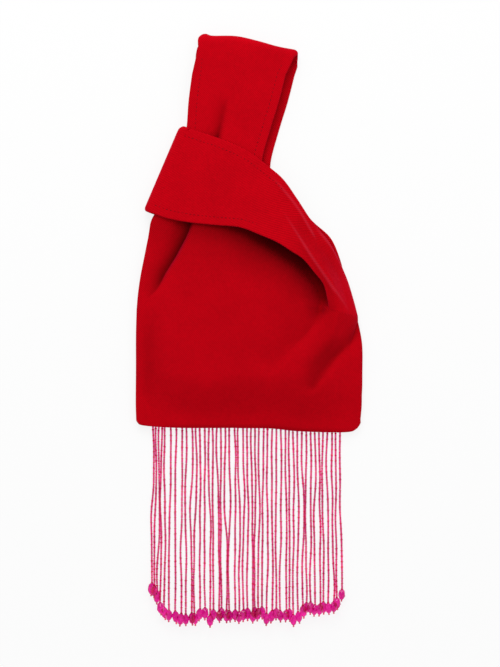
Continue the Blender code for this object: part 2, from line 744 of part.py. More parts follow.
def build():
    """Every piece of the bag, each as an object of its own."""
    for old in list(bpy.data.objects):
        bpy.data.objects.remove(old)
    cloth = material("red_cloth", (0.48, 0.0, 0.006), 0.9, 0)
    lining = material("lining_cloth", (0.35, 0.0, 0.005), 0.85, 0)
    ribbon = material("tape_ribbon", (0.45, 0.01, 0.03), 0.8, 0)
    glass = material("pink_glass", (0.66, 0.03, 0.20), 0.12, 0.6)
    front = front_body(BODY_ROWS)
    back = back_body(BODY_ROWS)
    front_sheet = y_sheet(front, front_long_strap(STEPS), front_short_strap(STEPS))
    back_sheet = y_sheet(back, back_long_strap(STEPS), back_short_strap(1))
    add_cloth("front_panel", front_sheet, CLOTH, cloth)
    add_cloth("back_panel", back_sheet, CLOTH, cloth)
    add_cloth("lining_front", plain_sheet(lining_front_rows(front)), LINING_CLOTH, lining)
    add_cloth("lining_back", plain_sheet(lining_back_rows(back)), LINING_CLOTH, lining)
    add_cloth("fringe_tape", plain_sheet(tape_rows(back[0])), TAPE, ribbon)
    places = strand_places()
    lengths = strand_lengths()
    for k in range(STRAND_COUNT):
        hem_y = np.interp(places[k], back[0, :, 0], back[0, :, 1])
        add_object(f"strand_{k + 1:02d}", strand_mesh(k, places[k], hem_y, lengths[k]), glass)


build()
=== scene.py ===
import math

import bpy
import numpy as np
from bpy.props import FloatProperty, FloatVectorProperty, IntProperty, PointerProperty
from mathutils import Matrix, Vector


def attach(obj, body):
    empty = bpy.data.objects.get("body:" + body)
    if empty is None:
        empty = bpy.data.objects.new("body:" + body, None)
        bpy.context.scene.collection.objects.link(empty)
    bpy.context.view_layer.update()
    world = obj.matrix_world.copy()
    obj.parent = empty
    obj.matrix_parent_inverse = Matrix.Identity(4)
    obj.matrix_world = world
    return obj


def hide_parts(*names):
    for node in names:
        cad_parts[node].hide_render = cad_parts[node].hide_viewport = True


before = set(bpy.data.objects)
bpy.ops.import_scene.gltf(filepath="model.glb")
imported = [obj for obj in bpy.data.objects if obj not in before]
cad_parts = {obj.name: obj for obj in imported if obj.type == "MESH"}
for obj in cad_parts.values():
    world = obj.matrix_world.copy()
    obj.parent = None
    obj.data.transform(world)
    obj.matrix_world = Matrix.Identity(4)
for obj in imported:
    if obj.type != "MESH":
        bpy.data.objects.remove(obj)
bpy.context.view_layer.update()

bl_info = {
    "name": "Knot bag",
    "version": (1, 0, 0),
    "blender": (4, 5, 0),
    "location": "3D View > Sidebar > Knot bag",
    "description": "Makes a knot bag of red cloth with a beaded fringe, and a plain studio for it",
    "category": "Object",
}

# The shape of the bag, in metres, as the solids have it
BODY_WIDTH = 0.226
BODY_HEIGHT = 0.200
BODY_PUFF = 0.026
STRAP_ROLL = 0.016
SEAM_ROUND = 0.005
SEAM_SHARE = 0.24
BELLY_REACH = 0.056
CLOTH = 0.0024
LINING_CLOTH = 0.0008
SEAM_GAP = 0.0003
KNOT_GAP = 0.0006
LOOP_HEIGHT = 0.1115
LOOP_WIDTH = 0.099
LOOP_LEAN = 0.0215
LOOP_GAP = 0.009
BACK_SHIFT = 0.009
BAND_WIDTH = 0.092
HAND_GAP = 0.005
BAND_RISE = 0.011
KNOT_FADE = 0.026
LAP = 0.006
TAPE_WIDTH = 0.190
TAPE_DEPTH = 0.007
TAPE = 0.001
HEM_OVERHANG = 0.0015
FRINGE_MIDDLE = -0.0020
FRINGE_WIDTH = 0.1872
STRAND_LENGTH = 0.1832
DROP_LENGTH = 0.0115
STOP_LENGTH = 0.0018
TABLE_GAP = 0.00005

# Heights of the middle of each layer of cloth
BACK_LEVEL = CLOTH / 2
BACK_OVER = BACK_LEVEL + CLOTH + KNOT_GAP
SIDE_SEAM = BACK_LEVEL + CLOTH + SEAM_GAP
HEM_SEAM = BACK_LEVEL + CLOTH + TAPE + 2 * SEAM_GAP
KNOT_LEVEL = BACK_OVER + CLOTH + HAND_GAP
BAND_LEVEL = KNOT_LEVEL + CLOTH + KNOT_GAP
LOOP_LEVEL = BACK_LEVEL + CLOTH + LOOP_GAP
LINING_BACK = CLOTH + SEAM_GAP + LINING_CLOTH / 2
LINING_SEAM = LINING_BACK + LINING_CLOTH + SEAM_GAP

# The origin is under the middle of the whole length
KNOT_TOP = 1.41 * BODY_HEIGHT
FRINGE_REACH = STRAND_LENGTH + DROP_LENGTH + STOP_LENGTH
HEM_Y = (FRINGE_REACH - KNOT_TOP - LOOP_HEIGHT) / 2

# How far up the notch between the straps lies, for the spacing of the rows, and the sides of the
# body and its fold line from the hem to the notch: share across, share up
NOTCH_HEIGHT = 0.58
LEFT_SIDE = ((0.004, 0.022), (0.002, 0.12), (0.003, 0.30), (0.003, 0.46), (0.006, 0.595))
RIGHT_SIDE = ((0.994, 0.000), (1.000, 0.10), (1.001, 0.27), (1.000, 0.42), (0.981, 0.550))
FOLD_LINE = ((0.485, 0.000), (0.545, 0.180), (0.626, 0.33), (0.728, 0.445), (0.854, 0.595))

# The long strap from the notch to the knot: left edge and right edge, share across and share up
LONG_STRAP = (
    (0.006, 0.595, 0.854, 0.595),
    (0.013, 0.680, 0.858, 0.655),
    (0.024, 0.765, 0.845, 0.720),
    (0.039, 0.850, 0.805, 0.795),
    (0.055, 0.940, 0.725, 0.890),
    (0.074, 1.040, 0.650, 0.990),
    (0.124, 1.130, 0.595, 1.100),
    (0.166, 1.240, 0.569, 1.210),
    (0.205, 1.360, 0.558, 1.325),
)
# The hand loop above the knot: share of its height, share of its width
HAND_LOOP = ((0.145, 0.845), (0.39, 0.908), (0.63, 0.943))
LOOP_FOOT = 0.3975
# How far the top fold falls below its highest point, at shares of the loop's width, the rounding
# of its two corners, how far it lies to the right, and how its right end is pinched in before it
TOP_FOLD = (
    (0, 0.0005),
    (0.08, 0),
    (0.14, 0.0018),
    (0.38, 0.0022),
    (0.6, 0.007),
    (0.8, 0.0125),
    (1, 0.0162),
)
TOP_CORNERS = (0.0065, 0.004)
TOP_SHIFT = 0.0011
TOP_PINCH = 0.0048
PINCH_REACH = 0.3

# The short strap from the notch to its fold: share across and up of its lower edge, the direction
# across it in degrees, its width as a share of the band's, and how far its lower edge, its ridge
# and its far half stand above the band's level, as shares of BAND_RISE
SHORT_STRAP = (
    (0.854, 0.595, -17, 0.330, 0.35, 0.85, 0.25),
    (0.845, 0.655, -7, 0.290, 0.75, 1.20, 0.30),
    (0.828, 0.720, 9, 0.265, 1.00, 1.40, 0.40),
    (0.790, 0.775, 28, 0.295, 0.90, 1.25, 0.30),
    (0.741, 0.840, 39, 0.335, 0.95, 1.05, 0.20),
    (0.688, 0.880, 56, 0.395, 0.95, 0.90, 0.15),
    (0.626, 0.925, 65, 0.515, 0.85, 0.70, 0.15),
    (0.551, 0.962, 67, 0.650, 0.65, 0.45, 0.20),
    (0.462, 1.000, 65, 0.730, 0.35, 0.20, 0.15),
    (0.352, 1.012, 66, 0.875, 0.10, 0.08, 0.08),
    (0.241, 1.025, 67, 0.965, 0.00, 0.03, 0.03),
    (0.144, 1.045, 68, 1.000, 0.00, 0.00, 0.00),
)
# Across the strap: where those heights are reached, and how often their corners are smoothed
STRAP_STOPS = (0, 0.15, 0.32, 0.50, 0.68, 1)
STRAP_SMOOTHINGS = 12
# The left fold: its lower corner, its direction and the rounding of its two corners
BAND_FOLD = (0.038, 1.089)
BAND_FOLD_ANGLE = 66.9
BAND_CORNERS = (0.003, 0.006)
# How far the strap's outer edge stands open, and how far the back's edge peeps out beyond it
OUTER_EDGE_OPEN = (0, 0, 0, 0.05, 0.38, 0.62, 0.80, 0.92, 1, 1, 1, 1)
SHOULDER_PEEP = 0.0045
BACK_PEEP = (-0.3, -0.3, -0.3, 0.5, 1.0, 0.3, -0.2, -0.5, -0.5, -0.5, -0.5, -0.5)

# Where the heights of the front change: where each change starts and over how much it goes. The
# front comes down to the knot, the long strap's edge rises to the knot and its loop comes to its
# own level, all in shares up the body. In shares of the way from the hem to the notch, the height
# of the short strap's first row takes over
FRONT_FALL = (0.45, 0.9)
EDGE_RISE = (0.9, 0.25)
LOOP_CHANGE = (1.4, 0.3)
NOTCH_CHANGE = (0.55, 0.45)
# How far the hem's raised seam reaches, and the hem's own line
SEAM_REACH = 0.02
HEM_FADE = 0.022
# How wide the change from the long strap's side to the short strap's is at the notch, and how
# much wider it gets with the distance from it
FOLD_CHANGE = 0.008
FOLD_SPREAD = 0.1
# How far beyond the band's edges the front is pressed and the back stands off, and how far round
# the notch the back stays down
FRONT_MARGIN = 0.002
BACK_MARGIN = 0.006
BACK_CLEAR = 0.012
# The back of the long strap moves to the right from this station on, over so many stations, and
# its left edge takes this share of it
SHIFT_START = 3
SHIFT_STATIONS = 5
LEFT_SHIFT = 0.25
# Where the topstitching starts, as shares of the loop and of the band's lower and upper edge
LOOP_STITCHED = 0.56
LOWER_STITCHED = 0.62
UPPER_STITCHED = 0.58

# The creases and folds, in shares across and up
LOOP_CREASE = ((0.405, 1.66), (0.385, 1.56), (0.362, 1.45), (0.34, 1.38), (0.30, 1.22))
BODY_CREASE = (
    (0.27, 1.10),
    (0.245, 1.02),
    (0.225, 0.955),
    (0.188, 0.87),
    (0.137, 0.775),
    (0.10, 0.70),
    (0.05, 0.64),
)
LOWER_FOLD = ((1.01, 0.54), (0.949, 0.445), (0.854, 0.345), (0.777, 0.23), (0.74, 0.17))
SIDE_FOLD = ((0.93, 0.40), (0.88, 0.345), (0.80, 0.225), (0.77, 0.18))
NOTCH_FOLD = ((0.870, 0.630), (0.819, 0.565), (0.728, 0.445), (0.626, 0.33), (0.56, 0.25))
# Their depths, and their widths on the gentle and on the steep side
LOOP_CREASE_SIZES = (0.0045, 0.010, 0.0035)
BODY_CREASE_SIZES = (0.0075, 0.014, 0.0022)
LOWER_FOLD_SIZES = (0.0030, 0.011, 0.007)
SIDE_FOLD_SIZES = (0.0016, 0.005, 0.003)
NOTCH_FOLD_SIZES = (0.0030, 0.016, 0.0050)
# A fold fades out at each end over its length divided by a number, and this one is for no fading
NO_FADE = 1000
# The hollow under the band's lower edge, down to the notch and along its fold
HOLLOW = (
    (0.40, 1.01),
    (0.478, 0.995),
    (0.551, 0.962),
    (0.626, 0.925),
    (0.688, 0.880),
    (0.741, 0.840),
    (0.790, 0.775),
    (0.828, 0.700),
    (0.850, 0.625),
    (0.819, 0.565),
    (0.728, 0.445),
    (0.626, 0.33),
    (0.56, 0.25),
)
# Its depth, the shares of it along the line, its width, and its width on the left past the notch
HOLLOW_SINK = 0.0055
HOLLOW_DEPTH = ((0, 0), (0.12, 0.45), (0.3, 1), (0.62, 1), (0.72, 0.75), (0.85, 0.35), (1, 0))
HOLLOW_WIDTH = 0.020
NOTCH_SHARE = 0.66
NOTCH_WIDTH = 0.005
# The least height of the pressed cloth, and how far the notch's own height reaches
PRESSED_LEVEL = 0.0075
NOTCH_REACH = 0.006
# The line that a column of the mesh follows, down both creases
CREASE = (
    (0.405, 1.72),
    (0.362, 1.45),
    (0.29, 1.20),
    (0.245, 1.02),
    (0.188, 0.87),
    (0.10, 0.70),
    (0.055, 0.645),
)
# How fast the painted shade fades away from its line
PAINTED_SHADE_FALL = 1.6
# Where shade is painted into the cloth's colour, darker in the folds, in the hollows and on slopes that face
# away from the light: the line, how much at shares of its length, and how far it reaches on the
# line's right and on its left, seen along it
PAINTED_FOLD_SHADE = (
    (
        ((0.20, 1.03), (0.352, 1.012), (0.462, 1.00), *HOLLOW[2:9]),
        ((0, 0.35), (0.2, 0.85), (0.4, 1.0), (0.70, 0.97), (0.88, 0.62), (1, 0.22)),
        0.027,
        0.021,
    ),
    (HOLLOW[8:], ((0, 0.34), (0.15, 0.18), (0.6, 0.08), (1, 0)), 0.016, 0.0025),
    (BODY_CREASE, ((0, 0.95), (0.4, 0.92), (0.75, 0.80), (1, 0)), 0.0095, 0.0012),
    (
        ((0.055, 0.62), (0.062, 0.40), (0.060, 0.12)),
        ((0, 0), (0.4, 0.22), (0.7, 0.22), (1, 0)),
        0.010,
        0.010,
    ),
    (
        ((0.900, 0.46), (0.835, 0.39), (0.750, 0.27)),
        ((0, 0), (0.4, 0.25), (0.7, 0.25), (1, 0)),
        0.008,
        0.008,
    ),
    (LOOP_CREASE, ((0, 0), (0.3, 0.35), (0.66, 0.9), (1, 0.95)), 0.0045, 0.0030),
    (LOWER_FOLD, ((0, 0.1), (0.25, 0.38), (0.7, 0.30), (1, 0)), 0.010, 0.0040),
    (SIDE_FOLD, ((0, 0), (0.3, 0.2), (0.8, 0.25), (1, 0)), 0.0030, 0.0020),
)
# The short strap has this line of painted shade of its own, and all but the first of the others on its first
# rows
SHOULDER_PAINTED_SHADE = (
    ((0.66, 1.08), (0.741, 0.965), (0.838, 0.83), (0.90, 0.70)),
    ((0, 0), (0.3, 0.22), (0.7, 0.22), (1, 0)),
    0.011,
    0.011,
)
NOTCH_ROWS = 14
# Painted shade: the body's middle is a little darker all over
BODY_PAINTED_SHADE = (((0.45, 0.75), (0.55, 0.40), (0.70, 0.05)), ((0, 0.09), (1, 0.09)), 0.090, 0.090)
# The thin raised lines on the knot's shoulder: their height and width, the width of the pink sheen
# painted on them, how soon it fades out at their ends, its share on the body, and the lines themselves
RIDGE_RISE = 0.0010
RIDGE_WIDTH = 0.0030
PAINTED_SHEEN_WIDTH = 0.0009
PAINTED_SHEEN_FADE = 4
BODY_PAINTED_SHEEN = 0.5
SHOULDER_RIDGES = (
    ((0.640, 1.10), (0.744, 0.91), (0.8385, 0.755), (0.878, 0.685), (0.955, 0.56)),
    ((0.590, 1.27), (0.704, 1.115), (0.768, 0.995), (0.80, 0.93)),
    ((0.785, 1.01), (0.8695, 0.89), (0.92, 0.78)),
)
# The hem's line from side to side
HEM_LINE = (
    (0.000, 0.060),
    (0.010, 0.028),
    (0.042, 0.0125),
    (0.18, 0.002),
    (0.36, 0.001),
    (0.586, 0.001),
    (0.72, -0.013),
    (0.92, -0.019),
    (0.975, -0.003),
    (0.996, 0.040),
    (1.000, 0.080),
)

# The line of the strands' ends: share across the fringe, and how much longer or shorter they are
FRINGE_LINE = (
    (0, -0.0270),
    (0.04, -0.0175),
    (0.08, -0.0040),
    (0.14, 0.0032),
    (0.74, 0.0025),
    (0.84, -0.0078),
    (0.95, -0.0098),
    (1, -0.0198),
)
# How the strands are spaced along the tape: share of the strands, share of the fringe's width
STRAND_SPACING = (
    (0.0000, 0.0000),
    (0.0227, 0.0160),
    (0.0455, 0.0331),
    (0.0682, 0.0497),
    (0.0909, 0.0631),
    (0.1136, 0.0946),
    (0.1364, 0.1240),
    (0.1591, 0.1560),
    (0.1818, 0.1785),
    (0.2045, 0.2090),
    (0.2273, 0.2282),
    (0.2500, 0.2517),
    (1.0000, 1.0000),
)
# How far the strands' places, lengths, lower ends and starts differ, and how their lower ends sway
PLACE_SPREAD = 0.0006
LENGTH_SPREAD = 0.0075
END_SPREAD = 0.0009
START_SPREAD = 0.0025
SWAY = 0.0030
# The slow waves in a strand, and how many half turns each makes on the way down
WAVE_WIDTH = 0.0019
WAVE_TURNS = (1.6, 2.7, 4.3, 7.1)
WAVE_STRENGTH = (0.3, 1.0)
FULL_TURN = 6.3
# Heights of a strand at shares of its length, first where it leaves the hem, and how far every
# second strand and every second drop, as a share of its width, lies above the rest
LEVEL_STOPS = (0, 0.02, 0.12, 0.80, 0.95, 1)
HEM_LEVELS = (0.0026, 0.0024)
STRAND_LIFT = 0.0022
DROP_LIFT = 0.78
# The rim of a round bead, as a share of its width, the rounding of each kind's rims, the slack
# between two beads and the widths of the two threads
RIM_SHARE = 0.32
BUGLE_CUT = 0.00015
SEED_CUT = 0.0004
STITCH_CUT = 0.0003
BEAD_SLACK = 0.0001
STITCH_WIDTH = 0.0006
THREAD_WIDTH = 0.0004
# How far the drops lean and how much their sizes differ
DROP_LEAN = 0.12
DROP_SIZES = (0.93, 1.03)
# The drop's rings, from its lower point: shares of its length and of its width
DROP_RINGS = ((-1, 0.12), (-0.87, 0.34), (-0.64, 0.48), (-0.38, 0.50), (-0.15, 0.38), (0, 0.11))
# The end bead's rings: height and radius
END_BEAD = ((-STOP_LENGTH, 0.0004), (-0.0013, 0.0009), (-0.0005, 0.0009), (0, 0.0005))
# Where the linings start above the hem, and the steepest slope that they follow at full distance
LINING_START = 0.06
LINING_SLOPE = 0.35

# The flat sizes of the pieces, width and length, as measured along their cloth
FRONT_LINING_FLAT = (0.238, 0.138)
BACK_LINING_FLAT = (0.213, 0.126)

# How many places on each row are tried for the crease, and how much columns crowd at both ends
VALLEY_PROBES = 401
CROWDING = 0.5
# The rounded edge of a turned hem: how far from the edge, and the share of the thickness there
HEM_ROUND = ((0, 0.3), (0.0003, 0.7), (0.0007, 0.92), (0.0012, 1.0))


# What all colours and all lengths in the sidebar share
COLOUR = {"subtype": "COLOR", "size": 3, "min": 0, "max": 1}
LENGTH = {"subtype": "DISTANCE", "unit": "LENGTH"}


class KnotBagCloth(bpy.types.PropertyGroup):
    colour: FloatVectorProperty(
        name="Cloth colour", description="Colour of the woven cloth",
        default=(0.479, 0.0004, 0.0052), **COLOUR,
    )
    lining_colour: FloatVectorProperty(
        name="Lining colour", description="Colour of the lining",
        default=(0.30, 0.001, 0.006), **COLOUR,
    )
    stitch_colour: FloatVectorProperty(
        name="Stitch colour", description="Colour of the topstitching thread",
        default=(0.21, 0.0, 0.005), **COLOUR,
    )
    twill: FloatProperty(
        name="Twill pitch", description="Distance between two ribs of the twill",
        default=0.00155, min=0.0005, max=0.005, **LENGTH,
    )
    stitch_length: FloatProperty(
        name="Stitch length", description="Length of one visible topstitch",
        default=0.0017, min=0.0005, max=0.01, **LENGTH,
    )
    stitch_pitch: FloatProperty(
        name="Stitch pitch", description="Distance from one topstitch to the next",
        default=0.0039, min=0.001, max=0.02, **LENGTH,
    )
    stitch_inset: FloatProperty(
        name="Stitch inset", description="Distance of the topstitching from the edge of the strap",
        default=0.0085, min=0.002, max=0.02, **LENGTH,
    )


class KnotBagFringe(bpy.types.PropertyGroup):
    strands: IntProperty(
        name="Strands", description="How many beaded strands hang from the hem",
        default=45, min=3, max=90,
    )
    bugle_length: FloatProperty(
        name="Bugle length", description="Length of a long glass bead",
        default=0.0038, **LENGTH,
    )
    bugle_width: FloatProperty(
        name="Bugle width", description="Width of a long glass bead",
        default=0.0020, **LENGTH,
    )
    seed_length: FloatProperty(
        name="Seed bead length", description="Length of a small round bead",
        default=0.0015, **LENGTH,
    )
    seed_width: FloatProperty(
        name="Seed bead width", description="Width of a small round bead",
        default=0.0024, **LENGTH,
    )
    drop_width: FloatProperty(
        name="Drop width", description="Width of the cut glass drop at the end of a strand",
        default=0.0076, **LENGTH,
    )
    bugle_colour: FloatVectorProperty(
        name="Bugle colour", description="Colour of the long glass beads",
        default=(0.78, 0.095, 0.31), **COLOUR,
    )
    seed_colour: FloatVectorProperty(
        name="Seed bead colour", description="Colour of the small round beads",
        default=(0.82, 0.004, 0.10), **COLOUR,
    )
    drop_colour: FloatVectorProperty(
        name="Drop colour", description="Colour of the cut glass drops",
        default=(0.92, 0.003, 0.28), **COLOUR,
    )


class KnotBagStudio(bpy.types.PropertyGroup):
    camera_height: FloatProperty(
        name="Camera height", description="Height of the camera above the table", default=3.0, **LENGTH
    )
    key_power: FloatProperty(name="Key lamp", description="Power of the main lamp in watts", default=16.0)
    fill_power: FloatProperty(name="Fill lamp", description="Power of the second lamp in watts", default=5.0)
    sky: FloatProperty(name="Sky", description="Strength of the light from all round", default=0.68)


# Plans and runs


def spot(across, up):
    """A place on the table, from shares of the body's width and height."""
    return np.array([(across - 0.5) * BODY_WIDTH, HEM_Y + up * BODY_HEIGHT])


def spots(places):
    """Places on the table, from shares of the body's width and height."""
    return np.array([spot(*p) for p in places])


def through(stations, steps):
    """A smooth run through the stations, with this many steps from each to the next."""
    stations = np.array(stations, float)
    first = 2 * stations[0] - stations[1]
    last = 2 * stations[-1] - stations[-2]
    padded = np.vstack([first, stations, last])
    rows = []
    for i in range(len(stations) - 1):
        a, b, c, d = padded[i : i + 4]
        for k in range(steps):
            t = k / steps
            bend = (2 * a - 5 * b + 4 * c - d) * t**2 + (3 * b - a - 3 * c + d) * t**3
            rows.append(b + (c - a) * t / 2 + bend / 2)
    rows.append(stations[-1])
    return np.array(rows)


def spread(stations, shares):
    """Places at shares of the length of the smooth run through the stations."""
    fine = through(stations, 12)
    lengths = np.concatenate([[0], np.cumsum(np.linalg.norm(np.diff(fine, axis=0), axis=1))])
    wanted = np.array(shares) * lengths[-1]
    return np.array([np.interp(wanted, lengths, fine[:, k]) for k in range(fine.shape[1])]).T


def ease(t):
    """Goes smoothly from 0 to 1 as t does."""
    t = np.clip(t, 0, 1)
    return t * t * (3 - 2 * t)


def change(value, start, reach):
    """Goes smoothly from 0 to 1 as a value goes from a start over a reach."""
    return ease((value - start) / reach)


def roll(distance, reach):
    """The rounding of an edge: 0 at the edge and 1 from the reach inwards."""
    t = np.clip(distance / reach, 0, 1)
    return np.sqrt(1 - (1 - t) ** 2)


def belly(distance):
    """The stuffed front near a seam: a small round edge, a flat margin and then the belly's slope."""
    return SEAM_SHARE * roll(distance, SEAM_ROUND) + (1 - SEAM_SHARE) * ease(distance / BELLY_REACH)


def distance_to(points, line):
    """How far each point lies from a line, to which side, and how far along the line, 0 to 1."""
    best = np.full(len(points), np.inf)
    along = np.zeros(len(points))
    side = np.ones(len(points))
    for k in range(len(line) - 1):
        a = line[k]
        run = line[k + 1] - a
        t = np.clip((points - a) @ run / (run @ run), 0, 1)
        off = points - a - t[:, None] * run
        away = np.linalg.norm(off, axis=1)
        nearer = away < best
        along = np.where(nearer, (k + t) / (len(line) - 1), along)
        side = np.where(nearer, np.sign(run[0] * off[:, 1] - run[1] * off[:, 0]), side)
        best = np.minimum(best, away)
    return best, side, along


def inside(points, ring):
    """Which points lie inside a closed ring of places."""
    found = np.zeros(len(points), bool)
    x, y = points.T
    for (ax, ay), (bx, by) in zip(ring, np.roll(ring, -1, axis=0)):
        crosses = (ay > y) != (by > y)
        slope = np.where(ay == by, 1, by - ay)
        found ^= crosses & (x < (bx - ax) * (y - ay) / slope + ax)
    return found


def fold(points, places, depth, gentle, steep, start=6, end=4):
    """A fold in the cloth: it sinks gently towards a line and comes up steeply on the other side."""
    away, side, along = distance_to(points, through(spots(places), 8))
    fade = ease(along * start) * ease((1 - along) * end)
    width = np.where(side > 0, steep, gentle)
    return -depth * fade * np.exp(-((away / width) ** 2))


def hollow(points):
    """How far the body sinks towards the band's lower edge and the notch's fold."""
    away, side, along = distance_to(points, through(spots(HOLLOW), 6))
    depth = np.interp(along, *zip(*HOLLOW_DEPTH))
    past = (side > 0) & (along > NOTCH_SHARE)
    width = np.where(past, NOTCH_WIDTH, HOLLOW_WIDTH)
    return HOLLOW_SINK * depth * np.exp(-((away / width) ** 2))


def ridge(points, places):
    """A thin raised line in the cloth."""
    return fold(points, places, -RIDGE_RISE, RIDGE_WIDTH, RIDGE_WIDTH)


def band_edges(peep):
    """The lower and the outer edge of the short strap, from the notch to the left fold's start."""
    lower = []
    outer = []
    for (across, up, angle, share, *_), out in zip(SHORT_STRAP, peep):
        direction = np.array([math.cos(math.radians(angle)), math.sin(math.radians(angle))])
        foot = spot(across, up)
        lower.append(foot)
        outer.append(foot + direction * (share * BAND_WIDTH + out * SHOULDER_PEEP))
    along = np.array([math.cos(math.radians(BAND_FOLD_ANGLE)), math.sin(math.radians(BAND_FOLD_ANGLE))])
    inwards = np.array([along[1], -along[0]])
    corner = spot(*BAND_FOLD) + inwards * fold_reach(BAND_LEVEL)
    lower.append(corner)
    outer.append(corner + along * BAND_WIDTH)
    return np.array(lower), np.array(outer), -inwards


def fold_reach(level):
    """How far a fold from this level down to the back layer stands out, with its cloth."""
    return (level - BACK_LEVEL) / 2 + CLOTH / 2


def corner_round(distance, radius):
    """How far a rounded corner of this radius falls short of a square one."""
    short = np.clip(1 - distance / radius, 0, 1)
    return radius * (1 - np.sqrt(1 - short**2))


def under_band(points, margin, fade):
    """1 for the places that the band covers and 0 well away from it."""
    lower, outer, _ = band_edges([0] * len(SHORT_STRAP))
    ring = np.vstack([through(lower, 4), through(outer, 4)[::-1]])
    away, _, _ = distance_to(points, np.vstack([ring, ring[:1]]))
    away = np.where(inside(points, ring), 0, away)
    return 1 - ease((away - margin) / fade)


def across_rows(starts, ends, shares):
    """A grid of places: one row from each start to its end, at the given shares."""
    shares = np.broadcast_to(np.array(shares), (len(starts), np.shape(shares)[-1]))[:, :, None]
    return starts[:, None, :] * (1 - shares) + ends[:, None, :] * shares


def close_ends(count, crowd):
    """Shares from 0 to 1 that lie closer together near both ends."""
    t = np.linspace(0, 1, count)
    return (1 - crowd) * t + crowd * ease(t)


def edge_shares(count, widths):
    """Columns at even shares, with the rounded hem's own columns put in at both edges."""
    shares = np.linspace(0, 1, count)[1:-1]
    rows = []
    for width in widths:
        near = [d / width for d, _ in HEM_ROUND]
        end = [1 - d for d in near][::-1]
        rows.append(np.concatenate([near, near[-1] + (end[0] - near[-1]) * shares, end]))
    return np.array(rows)


def long_columns(starts, ends, left_count, right_count):
    """The long side's columns on each row, as shares across it, with one column down the crease."""
    crease = through(spots(CREASE), 4)
    probes = np.linspace(0, 1, VALLEY_PROBES)
    rows = []
    for start, end in zip(starts, ends):
        width = np.linalg.norm(end - start)
        away, _, _ = distance_to(start + probes[:, None] * (end - start), crease)
        valley = probes[np.argmin(away)]
        near = [d / width for d, _ in HEM_ROUND]
        left = near[-1] + close_ends(left_count, CROWDING) * (valley - near[-1])
        right = valley + close_ends(right_count, CROWDING) * (1 - near[-1] - valley)
        rows.append(np.concatenate([near[:-1], left, right[1:], [1 - d for d in near][::-1][1:]]))
    return np.array(rows)


# The heights of the cloth


def front_top(points):
    """The height of the stuffed front, away from its edges, before the knot presses it down."""
    up = (points[:, 1] - HEM_Y) / BODY_HEIGHT
    rise = BODY_PUFF - SIDE_SEAM
    slope = change(up, *FRONT_FALL)
    return SIDE_SEAM + rise * (1 - slope) + (KNOT_LEVEL - SIDE_SEAM) * slope


def short_strap_heights(points, foot, direction, width, low, middle, far, opening):
    """The height of the short strap's front at places across one of its rows."""
    share = np.clip((points - foot) @ direction / width, 0, 1)
    rises = (low, 0.5 * (low + middle), middle, 0.5 * (middle + far), far, 0)
    fine = np.linspace(0, 1, 61)
    smooth = np.interp(fine, STRAP_STOPS, rises)
    for _ in range(STRAP_SMOOTHINGS):
        smooth[1:-1] = (smooth[:-2] + 2 * smooth[1:-1] + smooth[2:]) / 4
    rise = np.interp(share, fine, smooth)
    top = BAND_LEVEL + rise * BAND_RISE
    edge = SIDE_SEAM + (BAND_LEVEL - SIDE_SEAM) * opening
    return edge + (top - edge) * roll((1 - share) * width, STRAP_ROLL)


def notch_row_heights(points):
    """The height across the row where the short strap leaves the body."""
    lower, outer, _ = band_edges([0] * len(SHORT_STRAP))
    width = np.linalg.norm(outer[0] - lower[0])
    direction = (outer[0] - lower[0]) / width
    return short_strap_heights(points, lower[0], direction, width, *SHORT_STRAP[0][4:], 0)


def press_down(points, height):
    """The long strap's side under the band, with its crease and its rise to the notch."""
    notch = spot(*LONG_STRAP[0][2:])
    cover = under_band(points, FRONT_MARGIN, KNOT_FADE)
    height = height * (1 - cover) + np.minimum(height, KNOT_LEVEL) * cover
    height = height + fold(points, LOOP_CREASE, *LOOP_CREASE_SIZES, start=3, end=NO_FADE)
    height = height + fold(points, BODY_CREASE, *BODY_CREASE_SIZES, start=NO_FADE, end=2)
    height = np.maximum(height - hollow(points), PRESSED_LEVEL)
    near = np.exp(-((np.linalg.norm(points - notch, axis=1) / NOTCH_REACH) ** 2))
    return height * (1 - near) + notch_row_heights(notch[None])[0] * near


def fold_line_side(points):
    """0 on the long strap's side of the fold line, 1 on the short strap's side."""
    line = through(spots(FOLD_LINE), 8)
    away, _, _ = distance_to(points, line)
    right_of = points[:, 0] > np.interp(points[:, 1], line[:, 1], line[:, 0])
    notch = np.linalg.norm(points - line[-1], axis=1)
    return ease(0.5 + np.where(right_of, away, -away) / (FOLD_CHANGE + FOLD_SPREAD * notch))


def body_plan(rows, inset):
    """The plan of the body's two sides, from the hem to the notch, drawn in by an inset."""
    left = spread(spots(LEFT_SIDE), rows)
    right = spread(spots(RIGHT_SIDE), rows)
    middle = spread(spots(FOLD_LINE), rows)
    left[:, 0] += inset
    right[:, 0] -= inset
    left[0, 1] += inset
    middle[0, 1] += inset
    right[0, 1] += inset
    return left, middle, right


def hem_at(across):
    """How far up the hem lies at places across the bag."""
    line = through(spots(HEM_LINE), 10)
    return np.interp(across, line[:, 0], line[:, 1])


def hem_to_line(plan, inset):
    """The body's plan with its hem and the rows near it moved to the hem's own line."""
    wanted = hem_at(plan[0, :, 0]) + inset
    from_hem = plan[:, :, 1] - plan[:1, :, 1]
    fade = np.exp(-((from_hem / HEM_FADE) ** 2))
    plan[:, :, 1] += (wanted - plan[0, :, 1])[None] * fade
    return plan


def body_rows(count):
    """Shares of the way from the hem to the notch, with the rounded hem's own rows first."""
    height = BODY_HEIGHT * NOTCH_HEIGHT
    near = [d / height for d, _ in HEM_ROUND]
    rest = near[-1] + np.linspace(0, 1, count) * (1 - near[-1])
    return np.concatenate([near[:-1], rest])


def loop_centre(share):
    """The middle of the hand loop at a share of its height above the knot."""
    foot = spot(LOOP_FOOT, 0)[0]
    return np.array([foot + LOOP_LEAN * share, HEM_Y + KNOT_TOP + LOOP_HEIGHT * share])


